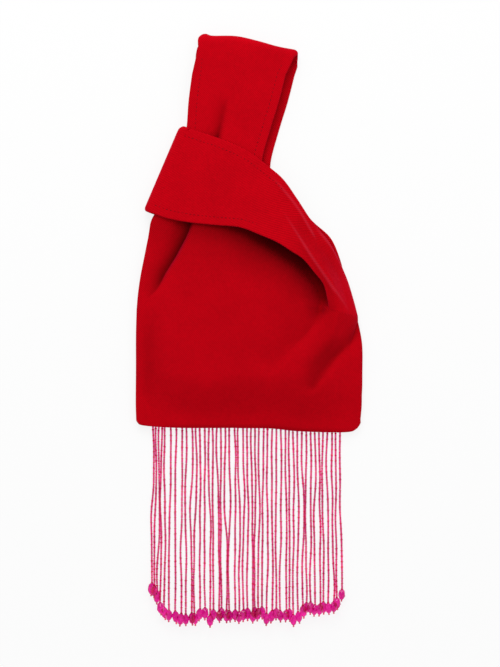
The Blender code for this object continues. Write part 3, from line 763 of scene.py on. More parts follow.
def long_strap_edges(shift):
    """The left and the right edge of the long strap, from the notch to where its top fold starts."""
    left = []
    right = []
    for k, (left_across, left_up, right_across, right_up) in enumerate(LONG_STRAP):
        move = np.array([shift * change(k, SHIFT_START, SHIFT_STATIONS), 0])
        left.append(spot(left_across, left_up) + move * LEFT_SHIFT)
        right.append(spot(right_across, right_up) + move)
    for up, share in HAND_LOOP:
        half = np.array([share * LOOP_WIDTH / 2, 0])
        left.append(loop_centre(up) - half + [shift * LEFT_SHIFT, 0])
        right.append(loop_centre(up) + half + [shift, 0])
    return np.array(left), np.array(right)


def round_profile(count, both=True):
    """The share of the cloth's thickness in each column or row, thinner at a rounded edge."""
    shares = np.ones(count)
    near = [s for _, s in HEM_ROUND]
    shares[: len(near)] = near
    if both:
        shares[-len(near) :] = near[::-1]
    return shares


# The three grids of a panel: its body, its long strap and its short strap


def front_body(row_count, left_count, right_count, short_count):
    """The front panel's body, and how many of its columns the long strap carries on."""
    rows = body_rows(row_count)
    left, middle, right = body_plan(rows, 0)
    long_side = across_rows(left, middle, long_columns(left, middle, left_count, right_count))
    widths = np.linalg.norm(right - middle, axis=1)
    columns = edge_shares(short_count, widths)
    short_side = across_rows(middle, right, columns)
    plan = np.concatenate([long_side, short_side[:, 1:]], axis=1)
    plan = hem_to_line(plan, 0)
    points = plan.reshape(-1, 2)
    from_left = np.linalg.norm(plan - left[:, None], axis=2).ravel()
    from_right = np.linalg.norm(plan - right[:, None], axis=2).ravel()
    from_hem = (plan[:, :, 1] - plan[:1, :, 1]).ravel()
    seam = (1 - ease(from_hem / SEAM_REACH)) * ease(np.minimum(from_left, from_right) / SEAM_REACH)
    edge = SIDE_SEAM + (HEM_SEAM - SIDE_SEAM) * seam
    height = edge + (front_top(points) - edge) * belly(from_left) * belly(from_right) * belly(from_hem)
    height = height + fold(points, LOWER_FOLD, *LOWER_FOLD_SIZES)
    height = height + fold(points, SIDE_FOLD, *SIDE_FOLD_SIZES)
    row_shares = np.repeat(rows, plan.shape[1])
    near_notch = change(row_shares, *NOTCH_CHANGE)
    short_height = height * (1 - near_notch) + notch_row_heights(points) * near_notch
    side = fold_line_side(points)
    height = press_down(points, height) * (1 - side) + short_height * side
    deeper = fold(points, NOTCH_FOLD, *NOTCH_FOLD_SIZES)
    height = height + deeper * (1 - row_shares**8)
    count = long_side.shape[1]
    height = height.reshape(plan.shape[:2])
    height[-1, count - 1 :] = notch_row_heights(plan[-1, count - 1 :])
    return np.dstack([plan, height]), count


def front_long_strap(steps, left_count, right_count):
    """The front half of the long strap, from the notch over its top fold."""
    left, right = (through(edge, steps) for edge in long_strap_edges(0))
    plan = across_rows(left, right, long_columns(left, right, left_count, right_count))
    points = plan.reshape(-1, 2)
    from_left = np.linalg.norm(plan - plan[:, :1], axis=2).ravel()
    up = (points[:, 1] - HEM_Y) / BODY_HEIGHT
    opening = change(up, *EDGE_RISE)
    edge = SIDE_SEAM + (KNOT_LEVEL - SIDE_SEAM) * opening
    level = front_top(points)
    level = level + (LOOP_LEVEL - level) * change(up, *LOOP_CHANGE)
    edge = np.minimum(edge, level)
    height = edge + (level - edge) * belly(from_left)
    height = press_down(points, height).reshape(plan.shape[:2])
    grid = np.dstack([plan, height])
    return np.concatenate([grid, top_fold_rows(grid[-1], steps, left_count, right_count)])


def top_fold_start(left_count, right_count):
    """The row where the long strap's top fold starts."""
    left, right = long_strap_edges(0)
    shares = long_columns(left[-1:], right[-1:], left_count, right_count)[0]
    return top_fold_places(shares)


def top_fold_places(shares):
    """Places along the start of the top fold, at shares of the loop's width."""
    shares = np.array(shares)
    line = through(TOP_FOLD, 8)
    fall = np.interp(shares, line[:, 0], line[:, 1])
    fall = fall + both_corners(shares, LOOP_WIDTH, TOP_CORNERS)
    centre = loop_centre(1)
    across = centre[0] + TOP_SHIFT + (shares - 0.5) * LOOP_WIDTH
    return np.array([across, centre[1] - fall - fold_reach(LOOP_LEVEL)]).T


def top_fold_rows(last, steps, left_count, right_count):
    """The rows that go over the top fold and a little way down the back."""
    start = top_fold_start(left_count, right_count)
    radius = (LOOP_LEVEL - BACK_LEVEL) / 2
    pinch = TOP_PINCH * ease((start[:, 0] - start[-1, 0]) / LOOP_WIDTH / PINCH_REACH + 1)
    rows = []
    for share in np.linspace(0, 1, steps + 1)[1:-1]:
        height = last[:, 2] * (1 - share) + LOOP_LEVEL * share
        across = last[:, 0] * (1 - share) + (start[:, 0] - pinch) * share
        rows.append(np.column_stack([across, last[:, 1] * (1 - share) + start[:, 1] * share, height]))
    turned = turn_over(start, np.array([0, 1]), radius, steps * 2)
    for k, row in enumerate(turned):
        row[:, 0] -= pinch * (1 - ease(k / steps))
    return np.array(rows + turned)


def turn_over(start, outwards, radius, turns):
    """Rows that go half round a fold from this row, and lap on to the back."""
    rows = []
    for k in range(turns + 1):
        angle = math.pi * k / turns
        out = outwards * radius * math.sin(angle)
        height = np.full(len(start), BACK_LEVEL + radius * (1 + math.cos(angle)))
        rows.append(np.column_stack([start + out, height]))
    rows.append(np.column_stack([start - outwards * LAP, np.full(len(start), BACK_LEVEL)]))
    return rows


def both_corners(shares, width, radii):
    """How far an edge of this width is drawn in towards its two rounded corners."""
    return corner_round(shares * width, radii[0]) + corner_round((1 - shares) * width, radii[1])


def front_short_strap(steps, short_count):
    """The front half of the short strap, from the notch over its left fold."""
    lower, outer, outwards = band_edges([0] * len(SHORT_STRAP))
    profile = np.array([s[4:] for s in SHORT_STRAP] + [(0, 0, 0)])
    stations = through(np.column_stack([lower, outer, profile, (*OUTER_EDGE_OPEN, 1)]), steps)
    widths = np.linalg.norm(stations[:, 2:4] - stations[:, :2], axis=1)
    columns = edge_shares(short_count, widths)
    rows = []
    for row, width, shares in zip(stations, widths, columns):
        foot = row[:2]
        direction = (row[2:4] - foot) / width
        points = foot + shares[:, None] * width * direction
        low, middle, far, opening = row[4:]
        opening = np.clip(opening, 0, 1)
        height = short_strap_heights(points, foot, direction, width, low, middle, far, opening)
        for line in SHOULDER_RIDGES:
            height = height + ridge(points, line)
        rows.append(np.column_stack([points, height]))
    start = rows[-1][:, :2] - outwards * both_corners(columns[-1], BAND_WIDTH, BAND_CORNERS)[:, None]
    radius = (BAND_LEVEL - BACK_LEVEL) / 2
    return np.array(rows[:-1] + turn_over(start, outwards, radius, steps * 2))


def back_body(row_count, left_count, right_count, short_count):
    """The back panel's body, flat on the table, and how many columns the long strap carries on."""
    rows = body_rows(row_count)
    left, middle, right = body_plan(rows, HEM_OVERHANG)
    widths = np.linalg.norm(right - middle, axis=1)
    short = edge_shares(short_count, widths)
    long_side = across_rows(left, middle, long_columns(left, middle, left_count, right_count))
    plan = np.concatenate([long_side, across_rows(middle, right, short)[:, 1:]], axis=1)
    plan = hem_to_line(plan, HEM_OVERHANG)
    return np.dstack([plan, np.full(plan.shape[:2], BACK_LEVEL)]), long_side.shape[1]


# The linings, the tape and the lines of stitches


def grid_normals(grid):
    """The direction away from the table at each point of a grid."""
    upright = np.cross(np.gradient(grid, axis=1), np.gradient(grid, axis=0))
    return upright / np.maximum(np.linalg.norm(upright, axis=2, keepdims=True), 1e-12)


def lining_part(grid, rows):
    """The part of a body's grid that its lining covers, clear of the seams round it."""
    near = len(HEM_ROUND)
    covered = grid[rows >= LINING_START][:-2, near:-near].copy()
    covered[:, -1] = (covered[:, -1] + covered[:, -2]) / 2
    return covered


def lining_front_grid(row_count, left_count, right_count, short_count):
    """The front lining, against the inside of the front panel and down to its seams."""
    body, _ = front_body(row_count, left_count, right_count, short_count)
    lift = CLOTH / 2 + SEAM_GAP + LINING_CLOTH / 2
    body[:, :, 2] -= lift / np.clip(grid_normals(body)[:, :, 2], LINING_SLOPE, 1)
    grid = lining_part(body, body_rows(row_count))
    grid[:, 0, 2] = LINING_SEAM
    grid[:, -1, 2] = LINING_SEAM
    grid[0, :, 2] = LINING_SEAM
    grid[:, :, 2] = np.maximum(grid[:, :, 2], LINING_SEAM)
    return grid


def lining_back_grid(row_count, left_count, right_count, short_count):
    """The back lining, flat on the inside of the back panel."""
    body, _ = back_body(row_count, left_count, right_count, short_count)
    grid = lining_part(body, body_rows(row_count))
    grid[:, :, 2] = LINING_BACK
    return grid


def tape_grid(columns, rows):
    """The header tape in the hem's seam, which the strands hang from."""
    across = np.linspace(-TAPE_WIDTH / 2, TAPE_WIDTH / 2, columns) + FRINGE_MIDDLE
    edge = hem_at(across) + HEM_OVERHANG
    level = np.full(columns, CLOTH + SEAM_GAP + TAPE / 2)
    return np.array([np.column_stack([across, edge + up, level]) for up in np.linspace(0, TAPE_DEPTH, rows)])


def runs_across(grid):
    """How far along its row each point of a grid lies, measured on the cloth."""
    steps = np.linalg.norm(np.diff(grid, axis=1), axis=2)
    return np.concatenate([np.zeros((len(grid), 1)), np.cumsum(steps, axis=1)], axis=1)


def line_on(grid, inset):
    """A line on top of the cloth, at a distance from the edge where the grid's rows start."""
    runs = runs_across(grid)
    path = np.array([[np.interp(inset, run, row[:, k]) for k in range(3)] for run, row in zip(runs, grid)])
    path[:, 2] += CLOTH / 2
    return path


def stitch_lines(long_strap, short_strap, steps, inset):
    """The four lines of topstitching: both edges of the hand loop and both edges of the band."""
    fold = -(2 * steps + 2)
    loop = long_strap[:fold]
    band = short_strap[:fold]
    lines = (
        (loop, LOOP_STITCHED),
        (loop[:, ::-1], LOOP_STITCHED),
        (band, LOWER_STITCHED),
        (band[:, ::-1], UPPER_STITCHED),
    )
    return [line_on(grid, inset)[int(start * len(grid)) :] for grid, start in lines]


def back_long_strap(steps, left_count, right_count):
    """The back half of the long strap, which crosses over the back of the band."""
    left, right = long_strap_edges(BACK_SHIFT)
    left[:, 0] += HEM_OVERHANG
    left = through(left, steps)
    right = through(right, steps)
    end = top_fold_start(left_count, right_count) - [0, LAP - SEAM_GAP]
    plan = across_rows(left, right, long_columns(left, right, left_count, right_count))
    plan = np.concatenate([plan, end[None]])
    points = plan.reshape(-1, 2)
    notch = spot(*LONG_STRAP[0][2:])
    cover = under_band(points, BACK_MARGIN, KNOT_FADE)
    cover = cover * ease(np.linalg.norm(points - notch, axis=1) / BACK_CLEAR)
    height = BACK_LEVEL + (BACK_OVER - BACK_LEVEL) * cover
    return np.dstack([plan, height.reshape(plan.shape[:2])])


def back_short_strap(steps, short_count):
    """The back half of the short strap, flat on the table."""
    lower, outer, outwards = band_edges(BACK_PEEP)
    lower[-1] -= outwards * (LAP + SEAM_GAP)
    outer[-1] -= outwards * (LAP + SEAM_GAP)
    lower = through(np.delete(lower, -2, axis=0), steps)
    outer = through(np.delete(outer, -2, axis=0), steps)
    widths = np.linalg.norm(outer - lower, axis=1)
    columns = edge_shares(short_count, widths)
    plan = across_rows(lower, outer, columns)
    plan[-1] -= outwards * both_corners(columns[-1], BAND_WIDTH, BAND_CORNERS)[:, None]
    return np.dstack([plan, np.full(plan.shape[:2], BACK_LEVEL)])


# Meshes


def quads(index):
    """Faces between the rows of a grid of vertex numbers, seen from above."""
    corners = (index[:-1, :-1], index[:-1, 1:], index[1:, 1:], index[1:, :-1])
    return np.stack(corners, axis=-1).reshape(-1, 4)


def number(grid, first):
    """Vertex numbers for a grid, from the first one on."""
    return first + np.arange(grid.shape[0] * grid.shape[1]).reshape(grid.shape[:2])


def cut_places(grid, middle):
    """Where each point of a grid lies on the flat cut: across from a middle column, and along it."""
    across = runs_across(grid)
    across = across - across[:, middle : middle + 1]
    steps = np.linalg.norm(np.diff(grid[:, middle], axis=0), axis=1)
    along = np.concatenate([[0], np.cumsum(steps)])
    return np.dstack([across, np.broadcast_to(along[:, None], across.shape)])


def painted_sheen_at(points):
    """Where a pink sheen is painted along the shoulder's raised lines, 0 to 1."""
    painted_light = np.zeros(len(points))
    for line in SHOULDER_RIDGES:
        away, _, along = distance_to(points, through(spots(line), 8))
        fade = ease(along * PAINTED_SHEEN_FADE) * ease((1 - along) * PAINTED_SHEEN_FADE)
        painted_light = np.maximum(painted_light, np.exp(-((away / PAINTED_SHEEN_WIDTH) ** 2)) * fade)
    return painted_light


def painted_shade_at(points, lines):
    """Where shade is painted into the folds, the hollows and the slopes away from the light, 0 to 1."""
    painted_shade = np.zeros(len(points))
    for places, stops, before, after in lines:
        away, side, along = distance_to(points, through(spots(places), 6))
        width = np.where(side > 0, after, before)
        here = np.interp(along, *zip(*stops)) * np.exp(-((away / width) ** PAINTED_SHADE_FALL))
        painted_shade = 1 - (1 - painted_shade) * (1 - here)
    return painted_shade


def straight_places(grid):
    """Where each point lies on the flat cut, on a strap that goes straight up and folds over."""
    rise = np.abs(np.diff(grid[:, :, 1], axis=0))
    sink = np.maximum(-np.diff(grid[:, :, 2], axis=0), 0) * (grid[1:, :, 1] > HEM_Y + KNOT_TOP)
    along = np.concatenate([grid[:1, :, 1], grid[:1, :, 1] + np.cumsum(rise + sink, axis=0)])
    return np.dstack([grid[:, :, 0], along])


def placed(name, data):
    """A new object in the scene, from its data."""
    made = bpy.data.objects.new(name, data)
    bpy.context.scene.collection.objects.link(made)
    return made


def plain_mesh(source, name):
    """The mesh that an object's modifiers make of it."""
    bpy.context.view_layer.update()
    seen = source.evaluated_get(bpy.context.evaluated_depsgraph_get())
    shape = bpy.data.meshes.new_from_object(seen)
    shape.name = name
    return shape


def cloth_object(name, points, faces, cut, shares, thickness, look, painted_light=None):
    """A closed sheet of cloth with rounded edges, from one layer of points."""
    data = bpy.data.meshes.new(name)
    data.from_pydata(points.tolist(), [], faces.tolist())
    for label, values in (painted_light or {}).items():
        data.attributes.new(label, "FLOAT", "POINT").data.foreach_set("value", values.astype(np.float32))
    data.polygons.foreach_set("use_smooth", np.ones(len(faces), bool))
    layer = data.uv_layers.new(name="cut")
    corners = np.zeros(len(data.loops), np.int32)
    data.loops.foreach_get("vertex_index", corners)
    layer.data.foreach_set("uv", cut[corners].astype(np.float32).ravel())
    data.materials.append(look)
    made = placed(name, data)
    group = made.vertex_groups.new(name="edge")
    for share in np.unique(np.round(shares, 4)):
        chosen = np.nonzero(np.isclose(shares, share, atol=1e-4))[0].tolist()
        group.add(chosen, float(share), "REPLACE")
    solid = made.modifiers.new("thickness", "SOLIDIFY")
    solid.thickness = thickness
    solid.offset = 0
    solid.vertex_group = "edge"
    shape = plain_mesh(made, name)
    made.modifiers.clear()
    made.vertex_groups.clear()
    made.data = shape
    bpy.data.meshes.remove(data)
    return made


def panel_object(name, body, count, long_strap, short_strap, look):
    """A whole panel: a body and its two straps, which share the body's last row."""
    body_index = number(body, 0)
    first = body_index.size
    long_index = np.vstack([body_index[-1:, :count], number(long_strap[1:], first)])
    first += long_strap[1:, :, 0].size
    short_index = np.vstack([body_index[-1:, count - 1 :], number(short_strap[1:], first)])
    points = np.vstack([body.reshape(-1, 3), long_strap[1:].reshape(-1, 3), short_strap[1:].reshape(-1, 3)])
    faces = np.vstack([quads(body_index), quads(long_index), quads(short_index)])
    cut = np.vstack(
        [
            body[:, :, :2].reshape(-1, 2),
            straight_places(long_strap)[1:].reshape(-1, 2),
            cut_places(short_strap, short_strap.shape[1] // 2)[1:].reshape(-1, 2),
        ]
    )
    hem = round_profile(len(body), both=False)[:, None]
    shares = np.concatenate(
        [
            np.minimum(round_profile(body.shape[1])[None], hem).ravel(),
            np.tile(round_profile(count), len(long_strap) - 1),
            np.tile(round_profile(short_strap.shape[1]), len(short_strap) - 1),
        ]
    )
    under = len(points) - short_strap[1:, :, 0].size
    # Painted highlight: a pink sheen along the shoulder's raised lines, weaker on the body
    painted_sheen = painted_sheen_at(points[:, :2])
    painted_sheen[: body[:, :, 0].size] *= BODY_PAINTED_SHEEN
    # Painted shade: the cloth's colour is darkened in the folds, in the hollows under the band and on slopes
    # away from the light
    painted_shade = painted_shade_at(points[:, :2], (*PAINTED_FOLD_SHADE, BODY_PAINTED_SHADE))
    past = np.repeat(np.arange(1, len(short_strap)), short_strap.shape[1])
    painted_shade[under:] = painted_shade_at(points[under:, :2], PAINTED_FOLD_SHADE[1:]) * (1 - ease(past / NOTCH_ROWS))
    painted_shade[under:] = np.maximum(painted_shade[under:], painted_shade_at(points[under:, :2], (SHOULDER_PAINTED_SHADE,)))
    return cloth_object(name, points, faces, cut, shares, CLOTH, look, {"painted_sheen": painted_sheen, "painted_shade": painted_shade})


def plain_object(name, grid, thickness, look):
    """A piece of cloth from one grid of points."""
    cut = cut_places(grid, grid.shape[1] // 2).reshape(-1, 2)
    shares = np.ones(grid.shape[0] * grid.shape[1])
    return cloth_object(name, grid.reshape(-1, 3), quads(number(grid, 0)), cut, shares, thickness, look)


# Finishes

# The noises of the cloth, each with its scale and detail: the ribs' waver, the nap, the uneven
# yarn and the patches of dye
BEND_NOISE = (90.0, 1.0)
NAP_NOISE = (1400.0, 2.0)
SLUB_NOISE = (260.0, 3.0)
DYE_NOISE = (34.0, 3.0)
# How far the ribs waver, and the finer lines across them: turns for each rib, and strength
RIB_BEND = 3.0
WEFT_TURNS = 1.6
WEFT_SHARE = 0.45
# The lining's ribs, as a share of the twill's, and the tape's
LINING_PITCH = 0.7
TAPE_PITCH = 0.0008
# How far each noise moves the tone and the surface
NAP_TONE = 0.24
SLUB_TONE = 0.22
DYE_TONE = 0.24
NAP_RELIEF = 0.8
SLUB_RELIEF = 1.2
# The colours that the painted pink sheen and the painted shade turn the cloth to, and how much of them they
# take at most
PAINTED_SHEEN_COLOUR = (0.62, 0.045, 0.09, 1)
PAINTED_SHEEN_MOST = 0.22
PAINTED_SHADE_COLOUR = (0.02, 0.0, 0.0, 1)
PAINTED_SHADE_MOST = 0.9
# The noises of the glass, the share of its bubbles, and the stops and the white of its streaks; on
# the drops the streaks' light and dark patches are also painted highlight and painted shade, which stand
# in for lit and shaded facets and their lighter hearts
BUBBLE_NOISE = (420.0, 2.0)
STREAK_NOISE = (45.0, 1.0)
BUBBLE_SHARE = 0.6
STREAK_STOPS = (0.35, 0.65)
STREAK_AND_HIGHLIGHT_WHITE = 0.04
BUGLE_GLASS = {"clear": 0.93, "roughness": 0.10, "streak_and_facet_light": 0.25, "bending": 1.06, "coat": 0.0}
SEED_GLASS = {"clear": 0.7, "roughness": 0.10, "streak_and_facet_light": 0.30, "bending": 1.08, "coat": 0.0}
# The drops' strong streaks are painted highlight and painted shade of their facets
DROP_GLASS = {"clear": 0.92, "roughness": 0.03, "streak_and_facet_light": 0.45, "bending": 1.15, "coat": 0.4}
END_BEAD_COLOUR = (0.80, 0.12, 0.18)
END_BEAD_GLASS = {"clear": 0.8, "roughness": 0.10, "streak_and_facet_light": 0.3, "bending": 1.1, "coat": 0.0}
# The twist of the threads, and the colour of those through the beads
PLY_SCALE = 900.0
PLY_DISTORTION = 2.0
BEAD_THREAD_COLOUR = (0.90, 0.20, 0.38)


def new_look(name):
    """A new material, its node tree and its main shader."""
    look = bpy.data.materials.new(name)
    look.use_nodes = True
    return look, look.node_tree, look.node_tree.nodes["Principled BSDF"]


def fill(tree, node, inputs):
    """Gives a node its inputs, each a number or another node's socket."""
    for label, value in inputs.items():
        socket = node.inputs[label]
        if isinstance(value, bpy.types.NodeSocket):
            tree.links.new(value, socket)
        else:
            socket.default_value = value


def add_node(tree, kind, inputs=None, **settings):
    """A new node with its settings and its inputs."""
    made = tree.nodes.new(kind)
    for label, value in settings.items():
        setattr(made, label, value)
    fill(tree, made, inputs or {})
    return made


def calc(tree, operation, *values):
    """The result socket of one sum."""
    return add_node(tree, "ShaderNodeMath", dict(enumerate(values)), operation=operation).outputs[0]


def noise(tree, place, scale, detail):
    """The grey of a noise with this scale and detail."""
    inputs = {"Vector": place, "Scale": scale, "Detail": detail}
    return add_node(tree, "ShaderNodeTexNoise", inputs).outputs["Fac"]


def blend(tree, share, first, second, kind="MIX"):
    """A colour with a share of a second colour mixed in."""
    inputs = {"Fac": share, "Color1": first, "Color2": second}
    return add_node(tree, "ShaderNodeMixRGB", inputs, blend_type=kind).outputs[0]


def bumps(tree, height, strength, depth):
    """The direction of a surface with small bumps."""
    inputs = {"Strength": strength, "Distance": depth, "Height": height}
    return add_node(tree, "ShaderNodeBump", inputs).outputs[0]


def woven(name, colour, pitch, sheen, rib):
    """Twill cloth: diagonal ribs, small mottling of the dye, a soft nap and a pink sheen."""
    look, tree, shader = new_look(name)
    cut = add_node(tree, "ShaderNodeUVMap", uv_map="cut").outputs[0]
    place = add_node(tree, "ShaderNodeTexCoord").outputs["Object"]
    across, along = add_node(tree, "ShaderNodeSeparateXYZ", {0: cut}).outputs[:2]
    turn = 2 * math.pi / (pitch * math.sqrt(2))
    bend = calc(tree, "MULTIPLY", noise(tree, place, *BEND_NOISE), RIB_BEND)
    ribs = calc(tree, "SINE", calc(tree, "MULTIPLY_ADD", calc(tree, "ADD", across, along), turn, bend))
    slope = calc(tree, "SUBTRACT", across, along)
    weft = calc(tree, "SINE", calc(tree, "MULTIPLY", slope, turn * WEFT_TURNS))
    weave = calc(tree, "MULTIPLY_ADD", weft, WEFT_SHARE, ribs)
    nap = noise(tree, place, *NAP_NOISE)
    slubs = noise(tree, place, *SLUB_NOISE)
    dye = noise(tree, place, *DYE_NOISE)
    tone = calc(tree, "MULTIPLY_ADD", weave, rib, 1.0)
    for grey, amount in ((nap, NAP_TONE), (slubs, SLUB_TONE), (dye, DYE_TONE)):
        tone = calc(tree, "ADD", tone, calc(tree, "MULTIPLY_ADD", grey, amount, -amount / 2))
    shade = blend(tree, 1.0, (*colour, 1), tone, "MULTIPLY")
    # Painted highlight and painted shade, from the cloth's own attributes, mixed into its colour
    for label, most, tint in (("painted_sheen", PAINTED_SHEEN_MOST, PAINTED_SHEEN_COLOUR), ("painted_shade", PAINTED_SHADE_MOST, PAINTED_SHADE_COLOUR)):
        painted_light = add_node(tree, "ShaderNodeAttribute", attribute_name=label).outputs["Fac"]
        shade = blend(tree, calc(tree, "MULTIPLY", painted_light, most), shade, tint)
    relief = calc(tree, "MULTIPLY_ADD", slubs, SLUB_RELIEF, weave)
    relief = calc(tree, "MULTIPLY_ADD", nap, NAP_RELIEF, relief)
    finish = {
        "Base Color": shade,
        "Normal": bumps(tree, relief, strength=0.35, depth=0.0002),
        "Roughness": calc(tree, "MULTIPLY_ADD", slubs, 0.12, 0.80),
        "Specular IOR Level": 0.02,
        "Sheen Weight": sheen,
        "Sheen Roughness": 0.35,
        "Sheen Tint": (0.9, 0.03, 0.16, 1),
    }
    fill(tree, shader, finish)
    return look


def bead_glass(name, colour, clear, roughness, streak_and_facet_light, bending, coat):
    """Tinted glass with small streaks and bubbles in its colour, which on the drops are also painted
    highlight and shade of the facets.
    """
    look, tree, shader = new_look(name)
    place = add_node(tree, "ShaderNodeTexCoord").outputs["Object"]
    cloud = noise(tree, place, *BUBBLE_NOISE)
    broad = noise(tree, place, *STREAK_NOISE)
    both = calc(tree, "MULTIPLY", cloud, BUBBLE_SHARE)
    both = calc(tree, "ADD", both, calc(tree, "MULTIPLY", broad, 1 - BUBBLE_SHARE))
    ramp = add_node(tree, "ShaderNodeValToRGB", {"Fac": both})
    dark, pale = ramp.color_ramp.elements
    dark.position, pale.position = STREAK_STOPS
    # Darker and paler glass at random; on the drops this is also painted shade and painted highlight of the
    # facets
    dark.color = (*[c * (1 - streak_and_facet_light) for c in colour], 1)
    pale.color = (*[min(1.0, c * (1 + streak_and_facet_light) + STREAK_AND_HIGHLIGHT_WHITE * streak_and_facet_light) for c in colour], 1)
    finish = {
        "Base Color": ramp.outputs[0],
        "Roughness": calc(tree, "MULTIPLY_ADD", cloud, roughness, roughness * 0.5),
        "Transmission Weight": clear,
        "IOR": bending,
        "Coat Weight": coat,
        "Coat Roughness": 0.04,
    }
    fill(tree, shader, finish)
    return look


def thread_look(name, colour):
    """Twisted thread."""
    look, tree, shader = new_look(name)
    place = add_node(tree, "ShaderNodeTexCoord").outputs["Object"]
    inputs = {"Vector": place, "Scale": PLY_SCALE, "Distortion": PLY_DISTORTION}
    ply = add_node(tree, "ShaderNodeTexWave", inputs, bands_direction="DIAGONAL").outputs["Fac"]
    tone = calc(tree, "MULTIPLY_ADD", ply, 0.35, 0.8)
    finish = {
        "Base Color": blend(tree, 1.0, (*colour, 1), tone, "MULTIPLY"),
        "Normal": bumps(tree, ply, strength=0.4, depth=0.0001),
        "Roughness": 0.7,
        "Specular IOR Level": 0.1,
    }
    fill(tree, shader, finish)
    return look


# Trees that repeat a bead or a stitch along a path


def new_tree(name, sizes):
    """A geometry tree with its named inputs, and the sockets that it gives them."""
    tree = bpy.data.node_groups.new(name, "GeometryNodeTree")
    tree.interface.new_socket("Geometry", in_out="INPUT", socket_type="NodeSocketGeometry")
    for label, kind in sizes:
        tree.interface.new_socket(label, in_out="INPUT", socket_type=kind)
    tree.interface.new_socket("Geometry", in_out="OUTPUT", socket_type="NodeSocketGeometry")
    given = tree.nodes.new("NodeGroupInput").outputs
    return tree, given


def close_tree(tree, instances, look):
    """The end of a tree: realize the instances and set their material."""
    real = add_node(tree, "GeometryNodeRealizeInstances", {"Geometry": instances}).outputs[0]
    done = add_node(tree, "GeometryNodeSetMaterial", {"Geometry": real, "Material": look}).outputs[0]
    add_node(tree, "NodeGroupOutput", {0: done})


def random_value(tree, low, high, seed):
    """A random number for each point, between two other values."""
    made = add_node(tree, "FunctionNodeRandomValue", data_type="FLOAT")
    numbers = [s for s in made.inputs if s.type == "VALUE"]
    tree.links.new(low, numbers[0])
    tree.links.new(high, numbers[1])
    tree.links.new(seed, made.inputs["Seed"])
    return [s for s in made.outputs if s.type == "VALUE"][0]


def spaced_tree():
    """Puts a copy of an object at equal steps along every path."""
    tree, given = new_tree(
        "spaced along a path",
        (
            ("Copied object", "NodeSocketObject"),
            ("Pitch", "NodeSocketFloat"),
            ("Shift", "NodeSocketFloat"),
            ("Left out at the end", "NodeSocketInt"),
            ("Size spread", "NodeSocketFloat"),
            ("Tilt spread", "NodeSocketFloat"),
            ("Seed", "NodeSocketInt"),
            ("Finish", "NodeSocketMaterial"),
        ),
    )
    inputs = {"Curve": given["Geometry"], "Length": given["Pitch"]}
    stepped = add_node(tree, "GeometryNodeResampleCurve", inputs, mode="LENGTH").outputs[0]
    tangent = tree.nodes.new("GeometryNodeInputTangent").outputs[0]
    normal = tree.nodes.new("GeometryNodeInputNormal").outputs[0]
    inputs = {0: tangent, "Scale": given["Shift"]}
    shift = add_node(tree, "ShaderNodeVectorMath", inputs, operation="SCALE").outputs[0]
    upright = add_node(
        tree, "FunctionNodeAxesToRotation", {0: tangent, 1: normal}, primary_axis="Z", secondary_axis="X"
    ).outputs[0]
    lowest = calc(tree, "MULTIPLY", given["Tilt spread"], -1.0)
    seeds = [calc(tree, "ADD", given["Seed"], float(k)) for k in range(3)]
    tilts = {k: random_value(tree, lowest, given["Tilt spread"], seed) for k, seed in enumerate(seeds)}
    angles = add_node(tree, "ShaderNodeCombineXYZ", tilts).outputs[0]
    tilt = add_node(tree, "FunctionNodeEulerToRotation", {0: angles}).outputs[0]
    turned = add_node(
        tree, "FunctionNodeRotateRotation", {"Rotation": upright, "Rotate By": tilt}, rotation_space="LOCAL"
    ).outputs[0]
    smallest = calc(tree, "SUBTRACT", 1.0, given["Size spread"])
    largest = calc(tree, "ADD", 1.0, given["Size spread"])
    scale = random_value(tree, smallest, largest, given["Seed"])
    moved = add_node(tree, "GeometryNodeSetPosition", {"Geometry": stepped, "Offset": shift}).outputs[0]
    inputs = {"Start Size": 0, "End Size": given["Left out at the end"]}
    last = add_node(tree, "GeometryNodeCurveEndpointSelection", inputs).outputs[0]
    kept = add_node(tree, "FunctionNodeBooleanMath", {0: last}, operation="NOT").outputs[0]
    copied = add_node(tree, "GeometryNodeObjectInfo", {"Object": given["Copied object"]}).outputs["Geometry"]
    instances = add_node(
        tree,
        "GeometryNodeInstanceOnPoints",
        {"Points": moved, "Selection": kept, "Instance": copied, "Rotation": turned, "Scale": scale},
    ).outputs[0]
    close_tree(tree, instances, given["Finish"])
    return tree


def tube_tree():
    """Gives every path a round thickness."""
    tree, given = new_tree(
        "round thread",
        (("Width", "NodeSocketFloat"), ("Finish", "NodeSocketMaterial")),
    )
    radius = calc(tree, "MULTIPLY", given["Width"], 0.5)
    ring = add_node(tree, "GeometryNodeCurvePrimitiveCircle", {"Resolution": 5, "Radius": radius}).outputs[0]
    inputs = {"Curve": given["Geometry"], "Profile Curve": ring, "Fill Caps": True}
    tube = add_node(tree, "GeometryNodeCurveToMesh", inputs).outputs[0]
    close_tree(tree, tube, given["Finish"])
    return tree


def drop_tree():
    """Hangs a copy of an object from every point, turned and sized by the point's own values."""
    tree, given = new_tree(
        "drops on points",
        (("Copied object", "NodeSocketObject"), ("Finish", "NodeSocketMaterial")),
    )
    turn = add_node(tree, "GeometryNodeInputNamedAttribute", {"Name": "turn"}, data_type="FLOAT_VECTOR")
    size = add_node(tree, "GeometryNodeInputNamedAttribute", {"Name": "size"}, data_type="FLOAT")
    rotation = add_node(tree, "FunctionNodeEulerToRotation", {0: turn.outputs["Attribute"]}).outputs[0]
    copied = add_node(tree, "GeometryNodeObjectInfo", {"Object": given["Copied object"]}).outputs["Geometry"]
    instances = add_node(
        tree,
        "GeometryNodeInstanceOnPoints",
        {
            "Points": given["Geometry"],
            "Instance": copied,
            "Rotation": rotation,
            "Scale": size.outputs["Attribute"],
        },
    ).outputs[0]
    close_tree(tree, instances, given["Finish"])
    return tree


